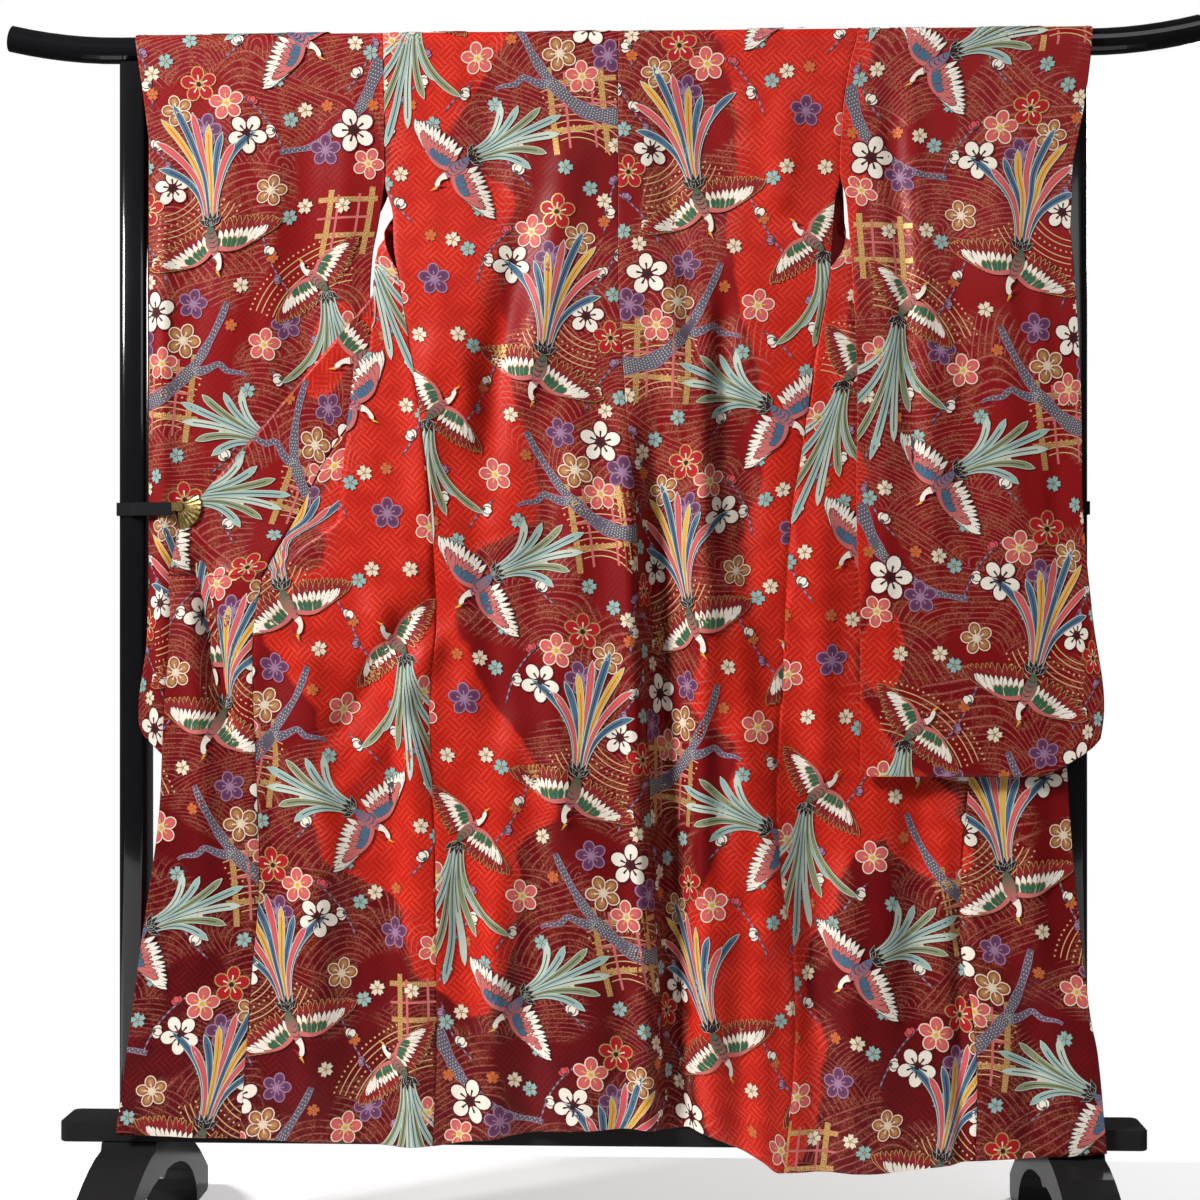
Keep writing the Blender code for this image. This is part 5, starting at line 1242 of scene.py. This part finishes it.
darkBird = {"far": "maroon", "farEdge": "gold", "cover": "white", "coverEdge": "wine", "coat": "green",
            "bone": "rose"}
paleBird = {"far": "white", "farEdge": "slate", "cover": "rose", "coverEdge": "wine", "coat": "blue",
            "bone": "rose"}


# Where each motif lies in the length; those marked False are left off the scarlet
lattices = (              # corner, width, height, tilt
    ((0.262, 0.232), 0.1, 0.12, 3), ((0.012, 0.505), 0.08, 0.088, -4))
fanBands = (              # middle, radii, first and last angle
    ((0.3, 0.19), np.arange(0.06, 0.15, 0.0085), 35, 112),
    ((0.02, 0.36), np.arange(0.1, 0.172, 0.0085), 20, 84),
    ((0.33, 0.61), np.arange(0.06, 0.13, 0.0085), 200, 264))
branches = (              # start, what it leans towards, end, width
    ((0.366, 0.276), (0.256, 0.29), (0.214, 0.425), 0.024),
    ((0.006, 0.176), (0.04, 0.06), (0.16, 0.04), 0.019),
    ((0.262, 0.322), (0.226, 0.35), (0.186, 0.318), 0.013))
twigs = (                 # start, end, bend, buds
    ((0.015, 0.24), (0.085, 0.345), 0.12, ("white", "lilac", "white")),
    ((0.085, 0.345), (0.06, 0.42), -0.15, ("lilac", "white")),
    ((0.15, 0.04), (0.21, 0.125), 0.18, ("white", "pink")),
    ((0.3, 0.01), (0.362, 0.095), -0.15, ("lilac", "white", "white")),
    ((0.06, 0.13), (0.016, 0.215), 0.18, ("white", "lilac")),
    ((0.3, 0.455), (0.362, 0.53), 0.15, ("white", "lilac")),
    ((0.12, 0.44), (0.175, 0.545), -0.12, ("lilac", "white", "pink")),
    ((0.235, 0.18), (0.18, 0.26), 0.16, ("white", "pink")),
    ((0.34, 0.11), (0.362, 0.2), 0.1, ("white", "lilac")),
    ((0.11, 0.29), (0.15, 0.33), 0.1, ("white",)))
birds = (                 # place, heading, size, dress, tail colours and lengths, how far the tail swings
    ((0.236, 0.508), -112, 0.86, darkBird,
     ("blue", "pink", "yellow", "blue", "pink", "yellow", "blue", "pink", "blue"),
     (0.13, 0.16, 0.18, 0.19, 0.17, 0.15, 0.14), 10),
    ((0.12, 0.205), -142, 0.8, paleBird,
     ("teal", "sage", "mist", "teal", "sage", "teal", "mist"),
     (0.1, 0.12, 0.14, 0.15, 0.13, 0.11), -14),
    ((0.086, 0.462), 42, 0.74, darkBird,
     ("mist", "teal", "sage", "teal", "mist", "sage", "teal", "sage"),
     (0.12, 0.16, 0.2, 0.21, 0.18, 0.14), 40))
blossoms = (              # across, up, kind, turn, scale, whether it is also on scarlet
    (0.318, 0.412, "white", 12, 1.0, True), (0.276, 0.372, "gilt", 40, 1.0, False),
    (0.345, 0.368, "purple", 5, 1.0, True), (0.262, 0.425, "purple", 30, 0.9, False),
    (0.308, 0.338, "pink", 22, 0.95, False), (0.232, 0.115, "pink", 10, 1.0, True),
    (0.264, 0.076, "purple", 33, 1.0, False), (0.203, 0.07, "white", 50, 0.95, False),
    (0.272, 0.142, "red", 12, 1.0, False), (0.304, 0.104, "gilt", 0, 0.9, False),
    (0.048, 0.074, "white", 0, 1.05, False), (0.09, 0.046, "purple", 20, 0.95, True),
    (0.028, 0.026, "pink", 44, 0.9, True), (0.158, 0.366, "pink", 28, 0.95, True),
    (0.126, 0.395, "purple", 2, 0.9, False), (0.345, 0.56, "red", 18, 0.95, False),
    (0.312, 0.592, "white", 8, 0.85, True), (0.034, 0.392, "pink", 10, 0.9, True),
    (0.168, 0.588, "gilt", 30, 0.9, False))
smallBlossoms = (         # across, up, ink, turn
    (0.022, 0.186, "teal", 0), (0.044, 0.2, "cream", 20), (0.34, 0.158, "cream", 8),
    (0.32, 0.176, "teal", 40), (0.182, 0.3, "teal", 12), (0.352, 0.022, "teal", 22),
    (0.118, 0.104, "cream", 5), (0.14, 0.09, "teal", 30), (0.116, 0.566, "cream", 16),
    (0.136, 0.55, "teal", 44), (0.018, 0.33, "cream", 25), (0.352, 0.474, "teal", 10),
    (0.33, 0.456, "cream", 35), (0.192, 0.452, "cream", 0), (0.24, 0.022, "teal", 18),
    (0.262, 0.008, "cream", 40), (0.092, 0.272, "teal", 28), (0.06, 0.566, "cream", 0),
    (0.284, 0.206, "teal", 0), (0.216, 0.246, "cream", 12), (0.356, 0.238, "cream", 20),
    (0.158, 0.148, "teal", 15), (0.34, 0.128, "amber", 15), (0.06, 0.3, "amber", 35),
    (0.176, 0.236, "amber", 8), (0.3, 0.486, "amber", 22), (0.15, 0.492, "amber", 41),
    (0.086, 0.11, "amber", 11), (0.206, 0.394, "amber", 30), (0.02, 0.11, "amber", 0))


def drawLength():
    for place, width, height, tilt in lattices:
        startMotif((place[0] + width / 2, place[1] + height / 2), False)
        lattice(place, width, height, tilt)
    for centre, radii, first, last in fanBands:
        middle = math.radians((first + last) / 2)
        startMotif((centre[0] + 0.1 * math.cos(middle), centre[1] + 0.1 * math.sin(middle)), False)
        arcs(centre, radii, first, last)
    for start, control, end, width in branches:
        startMotif(control, False)
        checkedBranch(start, control, end, width)
    for start, end, bend, buds in twigs:
        startMotif(start)
        twig(start, end, bend, buds)
    for place, *rest in birds:
        startMotif(place)
        bird(place, *rest)
    for x, y, kind, turn, scale, onScarlet in blossoms:
        startMotif((x, y), onScarlet)
        blossom((x, y), kind, turn, scale)
    for x, y, ink, turn in smallBlossoms:
        startMotif((x, y))
        smallBlossom((x, y), ink, turn, 0.02 if ink == "amber" else 0.025)


drawLength()
print("print drawn:", len(drawn["faces"]), "facets in one length")


printedSilk = {
    "usual": (0.6, 0.4, 0.3, 1), "grain": (650.0, 3.0),
    # where the ink is thin the ground shows, and gilt ink is dusty with another colour
    "thin": (0.42, 0.75), "thinShows": 0.28, "ground": (0.26, 0.012, 0.012, 1),
    "dusty": (0.44, 0.56), "dust": (0.26, 0.03, 0.014, 1),
    "giltMetal": 0.5, "gloss": (-0.12, 0.55), "relief": (0.25, 0.0004),
}


def printFinish():
    made, tree, shader = newFinish("printed silk", printedSilk["usual"], Roughness=0.5,
                                   Specular_IOR_Level=0.14)
    ink = wire(tree, "ShaderNodeAttribute", attribute_name="ink").outputs
    flat = flatMap(tree)
    grain = speckle(tree, flat, *printedSilk["grain"])
    thin = times(tree, stepTo(tree, grain, *printedSilk["thin"]), printedSilk["thinShows"])
    worn = blendColour(tree, thin, ink["Color"], printedSilk["ground"])
    dusty = times(tree, ink["Alpha"], stepTo(tree, grain, *printedSilk["dusty"]))
    feed(tree, shader, Base_Color=blendColour(tree, dusty, worn, printedSilk["dust"]),
         Metallic=times(tree, ink["Alpha"], printedSilk["giltMetal"]),
         Roughness=scaled(tree, ink["Alpha"], *printedSilk["gloss"]),
         Normal=raised(tree, speckle(tree, flat, silk["crepe"]), *printedSilk["relief"]))
    return made


def layingTree():
    # carries a flat drawing onto a cloth by the cloth's own flat map
    tree = bpy.data.node_groups.new("lay the print on the cloth", "GeometryNodeTree")
    for name, kind, way in (("Drawing", "Geometry", "INPUT"), ("Cloth", "Object", "INPUT"),
                            ("Lift", "Float", "INPUT"), ("Finish", "Material", "INPUT"),
                            ("Print", "Geometry", "OUTPUT")):
        tree.interface.new_socket(name, in_out=way, socket_type="NodeSocket" + kind)
    given, end = tree.nodes.new("NodeGroupInput").outputs, tree.nodes.new("NodeGroupOutput")
    cloth = wire(tree, "GeometryNodeObjectInfo", {"Object": given["Cloth"]}).outputs["Geometry"]
    flat = wire(tree, "GeometryNodeInputNamedAttribute", {"Name": "flat"},
                data_type="FLOAT_VECTOR").outputs[0]
    here = wire(tree, "GeometryNodeInputPosition").outputs[0]
    square = wire(tree, "GeometryNodeInputNormal").outputs[0]
    place, normal = (wire(tree, "GeometryNodeSampleUVSurface", {0: cloth, 1: field, 2: flat, 3: here},
                          data_type="FLOAT_VECTOR").outputs for field in (here, square))
    lift = reckon(tree, "ADD", splitUp(tree, here)[2], given["Lift"])
    proud = wire(tree, "ShaderNodeVectorMath", {0: normal[0], "Scale": lift}, operation="SCALE").outputs[0]
    missed = wire(tree, "FunctionNodeBooleanMath", {0: place[1]}, operation="NOT").outputs[0]
    made = given["Drawing"]
    for kind, inputs in (("DeleteGeometry", {"Selection": missed}),
                         ("SetPosition", {"Position": reckonVector(tree, "ADD", place[0], proud)}),
                         ("RealizeInstances", {}), ("SetMaterial", {"Material": given["Finish"]})):
        made = wire(tree, "GeometryNode" + kind, {"Geometry": made, **inputs}).outputs[0]
    tree.links.new(made, end.inputs["Print"])
    return tree


printed = {
    "lift": garment["wall"] / 2 + 0.00035,     # the print's lowest layer over the middle of the cloth
    "margin": 0.0006,                          # left clear along a piece's edges
    "beyond": 0.2,                             # laid past a piece's two ends, then trimmed
    # how far across and up the print starts on each piece, and which way round it runs
    "starts": {
        "back_left": (-0.36, 0.155, 1), "back_right": (-0.01, 0.395, -1),
        "front_left": (-0.345, 0.42, -1), "front_right": (-0.02, 0.21, 1),
        "okumi_left": (-0.3, 0.25, 1), "okumi_right": (-0.06, 0.02, -1),
        "collar": (-0.3, -0.126, 1),
        "sleeve_left": (-0.366, 0.345, -1), "sleeve_right": (-0.004, 0.3, 1),
    },
}


def groundUnder(marks, edges):
    # how scarlet the cloth is where each mark of the flat drawing comes to lie
    away = ((edges["across"] - mark[0]) ** 2 + (edges["along"] - mark[1]) ** 2 for mark in marks)
    found = edges["points"].reshape(-1, 3)[[np.argmin(distance) for distance in away]]
    return scarletAt(found[:, 0], found[:, 2])


def flatPrint(name, edges):
    # repeat the drawn length up a piece, and trim it to the piece's edges
    along, across = edges["along"], edges["across"]
    points, faces = np.array(drawn["points"]), drawn["faces"]
    marks = np.array([mark[:2] for mark in drawn["motifs"]])
    startAcross, startUp, way = printed["starts"][name]
    if way < 0:
        for flipped in (points, marks):
            flipped[:, 0] = printLength["across"] - flipped[:, 0]
        faces = [face[::-1] for face in faces]
    first = math.floor((along.min() - startUp - printed["beyond"]) / printLength["up"])
    last = math.ceil((along.max() - startUp + printed["beyond"]) / printLength["up"])
    shifts = [(startAcross, startUp + i * printLength["up"], 0) for i in range(first, last + 1)]
    whole = np.concatenate([points + np.array(shift) for shift in shifts])

    # the piece's four edges beside every point, and how the point lies to them
    order = 1 if along[-1].mean() > along[0].mean() else -1

    def edge(index):
        return np.interp(whole[:, 1], along[::order, index], across[::order, index])

    def hem(row):
        rising = np.argsort(across[row])
        return np.interp(whole[:, 0], across[row][rising], along[row][rising])

    margin = printed["margin"]
    left, right = np.minimum(edge(0), edge(-1)) + margin, np.maximum(edge(0), edge(-1)) - margin
    foot, top = (hem(0) + margin, hem(-1) - margin) if order > 0 else (hem(-1) + margin, hem(0) - margin)
    sides = ((whole[:, 0] < left).astype(int) + 2 * (whole[:, 0] > right)
             + 4 * (whole[:, 1] < foot) + 8 * (whole[:, 1] > top))
    trimmed = whole.copy()
    trimmed[:, 0] = np.clip(trimmed[:, 0], left, np.maximum(right, left))
    trimmed[:, 1] = np.clip(trimmed[:, 1], foot, top)

    kept = []
    for i, shift in enumerate(shifts):
        base = i * len(points)
        ground = groundUnder(marks + shift[:2], edges)
        shown = [mark[2] or value < 0.5 for value, mark in zip(ground, drawn["motifs"])]
        for face, motif in zip(faces, drawn["motifOf"]):
            if not shown[motif]:
                continue
            outside = 15                    # all four sides, until a corner lies inside one of them
            for corner in face:
                outside &= sides[base + corner]
            if not outside:
                kept.append(tuple(base + corner for corner in face))
    used = np.unique(np.concatenate([np.array(face) for face in kept]))
    renumber = np.zeros(len(trimmed), int)
    renumber[used] = np.arange(len(used))
    mesh = bpy.data.meshes.new("print_" + name)
    mesh.from_pydata(trimmed[used].tolist(), [], [tuple(int(renumber[c]) for c in face) for face in kept])
    mapFlat(mesh, trimmed[used][:, :2])
    colours = np.tile(np.array(drawn["colours"], np.float32), (len(shifts), 1))
    tint = mesh.color_attributes.new(name="ink", type="FLOAT_COLOR", domain="POINT")
    tint.data.foreach_set("color", colours[used].reshape(-1))
    mesh.shade_smooth()
    return mesh


def layPrint(name, cloth, edges, tree, finish):
    sketch = intoScene("print_" + name, flatPrint(name, edges))
    modifier = sketch.modifiers.new("lay", "NODES")
    modifier.node_group = tree
    ids = {item.name: item.identifier for item in tree.interface.items_tree if item.in_out == "INPUT"}
    for key, value in (("Cloth", cloth), ("Lift", printed["lift"]), ("Finish", finish)):
        modifier[ids[key]] = value
    graph = bpy.context.evaluated_depsgraph_get()
    mesh = bpy.data.meshes.new_from_object(sketch.evaluated_get(graph), preserve_all_data_layers=True,
                                           depsgraph=graph)
    sketch.modifiers.remove(modifier)
    sketch.data = mesh
    if not mesh.materials:
        mesh.materials.append(finish)
    return sketch


tree, ink = layingTree(), printFinish()
prints = {}
for name, (cloth, edges) in pieces.items():
    prints[name] = layPrint(name, cloth, edges, tree, ink)
    print("print laid on", name, len(prints[name].data.polygons))

# Each piece gets a wall of silk and lining, its CAD part is hidden, and it and its print ride the root
for name, (piece, edges) in pieces.items():
    wall = piece.modifiers.new("wall", "SOLIDIFY")
    wall.thickness = garment["wall"]
    wall.offset = 0
    wall.material_offset = 1
    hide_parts(name)
    for made in (piece, prints[name]):
        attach(made, "root")


# Stand
post = {"corner": 0.01, "cornerSteps": 5, "under": 0.0003, "edge": 0.0012, "sharpFrom": 50}
lacquerShine = {"waves": (6.0, 3.0), "unevenly": 0.12, "ripple": 22.0, "relief": (0.05, 0.002)}
lacquers = {          # darkest, palest, roughness, specular, coat
    "black lacquer": ((0.0035, 0.0035, 0.0045, 1), (0.007, 0.0065, 0.0075, 1), 0.08, 0.25, 0.25),
    "softer black lacquer": ((0.013, 0.0125, 0.013, 1), (0.02, 0.019, 0.019, 1), 0.1, 0.014, 0.0),
}


def blackLacquer(name):
    dark, pale, rough, specular, coat = lacquers[name]
    made, tree, shader = newFinish(name, dark, Roughness=rough, Coat_Weight=coat, Coat_Roughness=0.05,
                                   Specular_IOR_Level=specular)
    spot = onObject(tree)
    uneven = speckle(tree, spot, *lacquerShine["waves"])
    feed(tree, shader, Roughness=scaled(tree, uneven, lacquerShine["unevenly"], rough),
         Base_Color=blendColour(tree, uneven, dark, pale),
         Normal=raised(tree, speckle(tree, spot, lacquerShine["ripple"]), *lacquerShine["relief"]))
    return made


def roundedPost(node, finish):
    # the same post with softly rounded corners, up to the hollow that the bar lies in
    low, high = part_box(node)
    middle = [(low[i] + high[i]) / 2 for i in range(3)]
    half = [(high[i] - low[i]) / 2 for i in range(2)]
    hollow = min(v.co.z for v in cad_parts[node].data.vertices if v.co.z > middle[2])
    corner, edge, top = post["corner"], post["edge"], hollow - post["under"]
    outline = []
    for quarter, (signX, signY) in enumerate(((1, 1), (-1, 1), (-1, -1), (1, -1))):
        for step in range(post["cornerSteps"] + 1):
            turn = math.pi / 2 * (quarter + step / post["cornerSteps"])
            outline.append(((half[0] - corner) * signX + corner * math.cos(turn),
                            (half[1] - corner) * signY + corner * math.sin(turn)))
    levels = ((low[2], edge), (low[2] + edge, 0), (top - edge, 0), (top, edge))
    count = len(outline)
    points = [(middle[0] + x * (1 - inset / half[0]), middle[1] + y * (1 - inset / half[1]), height)
              for height, inset in levels for x, y in outline]
    faces = [tuple(reversed(range(count)))]
    for row in range(len(levels) - 1):
        for i in range(count):
            here, beside = row * count + i, row * count + (i + 1) % count
            faces.append((here, beside, beside + count, here + count))
    faces.append(tuple(range((len(levels) - 1) * count, len(levels) * count)))
    mesh = bpy.data.meshes.new("lacquer_" + node)
    mesh.from_pydata(points, [], faces)
    mesh.shade_smooth()
    mesh.set_sharp_from_angle(angle=math.radians(post["sharpFrom"]))
    mesh.materials.append(finish)
    made = intoScene("lacquer_" + node, mesh)
    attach(made, "root")
    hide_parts(node)


strap = {
    "usual": (0.006, 0.006, 0.008, 1), "dark": (0.003, 0.003, 0.004, 1), "pale": (0.01, 0.01, 0.012, 1),
    "ribs": 420.0, "relief": (0.4, 0.0004),
}


def wovenRibbon():
    made, tree, shader = newFinish("black ribbon", strap["usual"], Roughness=0.6, Specular_IOR_Level=0.15)
    ribs = wire(tree, "ShaderNodeTexWave", {"Vector": onObject(tree), "Scale": strap["ribs"]},
                bands_direction="X").outputs["Fac"]
    feed(tree, shader, Base_Color=blendColour(tree, ribs, strap["dark"], strap["pale"]),
         Normal=raised(tree, ribs, *strap["relief"]))
    return made


clip = {
    "usual": (0.5, 0.36, 0.12, 1), "tarnished": (0.2, 0.13, 0.045, 1), "bright": (0.6, 0.45, 0.17, 1),
    "stains": (160.0, 4.0, 0.35, 0.62), "gloss": (-0.2, 0.48), "pits": (420.0, 2.0), "relief": (0.3, 0.0005),
}


def oldGilt():
    made, tree, shader = newFinish("gilt brass", clip["usual"], Roughness=0.35, Metallic=1.0)
    spot = onObject(tree)
    stain = patches(tree, spot, *clip["stains"])
    feed(tree, shader, Base_Color=blendColour(tree, stain, clip["tarnished"], clip["bright"]),
         Roughness=scaled(tree, stain, *clip["gloss"]),
         Normal=raised(tree, speckle(tree, spot, *clip["pits"]), *clip["relief"]))
    return made


lacquer, lowLacquer = (blackLacquer(name) for name in lacquers)
wovenBand, gilt = wovenRibbon(), oldGilt()
for made, nodes in ((lacquer, ("bar",)), (lowLacquer, ("beam", "foot_left", "foot_right")),
                    (wovenBand, ("strap_left", "strap_right")), (gilt, ("clip_left", "clip_right"))):
    for name in nodes:
        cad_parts[name].data.materials.clear()
        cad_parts[name].data.materials.append(made)
for name in ("post_left", "post_right"):
    roundedPost(name, lacquer)
print("stand finished")

# Studio
studio = {
    "eye": (0.1035, -2.998, 0.942), "turn": 0.0345, "lens": 62.07, "sensor": 36.0,
    "floor": (-1.35, 1.35, -0.95, 0.5), "floorColour": (0.94, 0.94, 0.94, 1), "floorGlow": 0.28,
    "white": (1.0, 1.0, 1.0, 1), "fill": 0.075, "seen": 1.0,
    "lights": (           # place, aim, size, power
        ("key light", (-3.1, -2.3, 3.5), (0, 0, 1.05), 1.0, 335),
        ("overhead", (0.9, -2.8, 3.2), (0, 0, 1.2), 1.6, 22),
        ("far light", (2.4, 3.6, 3.2), (0, 0, 0.9), 1.6, 150)),
}
scene = bpy.context.scene
lens = bpy.data.cameras.new("camera")
lens.lens = studio["lens"]
lens.sensor_width = studio["sensor"]
lens.sensor_fit = "HORIZONTAL"
camera = intoScene("camera", lens)
camera.location = studio["eye"]
camera.rotation_euler = (math.pi / 2, 0, math.asin(studio["turn"]))
scene.camera = camera
scene.view_settings.view_transform = "Standard"

floorMesh = bpy.data.meshes.new("floor")
west, east, south, north = studio["floor"]
floorMesh.from_pydata([(west, south, 0), (east, south, 0), (east, north, 0), (west, north, 0)], [],
                      [(0, 1, 2, 3)])
paleFloor = newFinish("pale floor", studio["floorColour"], Roughness=0.6,
                      Emission_Color=studio["white"], Emission_Strength=studio["floorGlow"])
floorMesh.materials.append(paleFloor[0])
intoScene("floor", floorMesh)

world = bpy.data.worlds.new("white room")
world.use_nodes = True
room, backdrop = world.node_tree, world.node_tree.nodes["Background"]
backdrop.inputs["Color"].default_value = studio["white"]
seen = wire(room, "ShaderNodeLightPath").outputs["Is Camera Ray"]
feed(room, backdrop, Strength=either(room, seen, studio["fill"], studio["seen"]))
scene.world = world

for name, place, aim, size, power in studio["lights"]:
    lamp = bpy.data.lights.new(name, "AREA")
    lamp.size = size
    lamp.energy = power
    holder = intoScene(name, lamp)
    holder.location = place
    away = np.array(aim) - np.array(place)
    holder.rotation_euler = (math.pi / 2 + math.atan2(away[2], math.hypot(away[0], away[1])), 0,
                             math.atan2(away[1], away[0]) - math.pi / 2)
print("studio set")
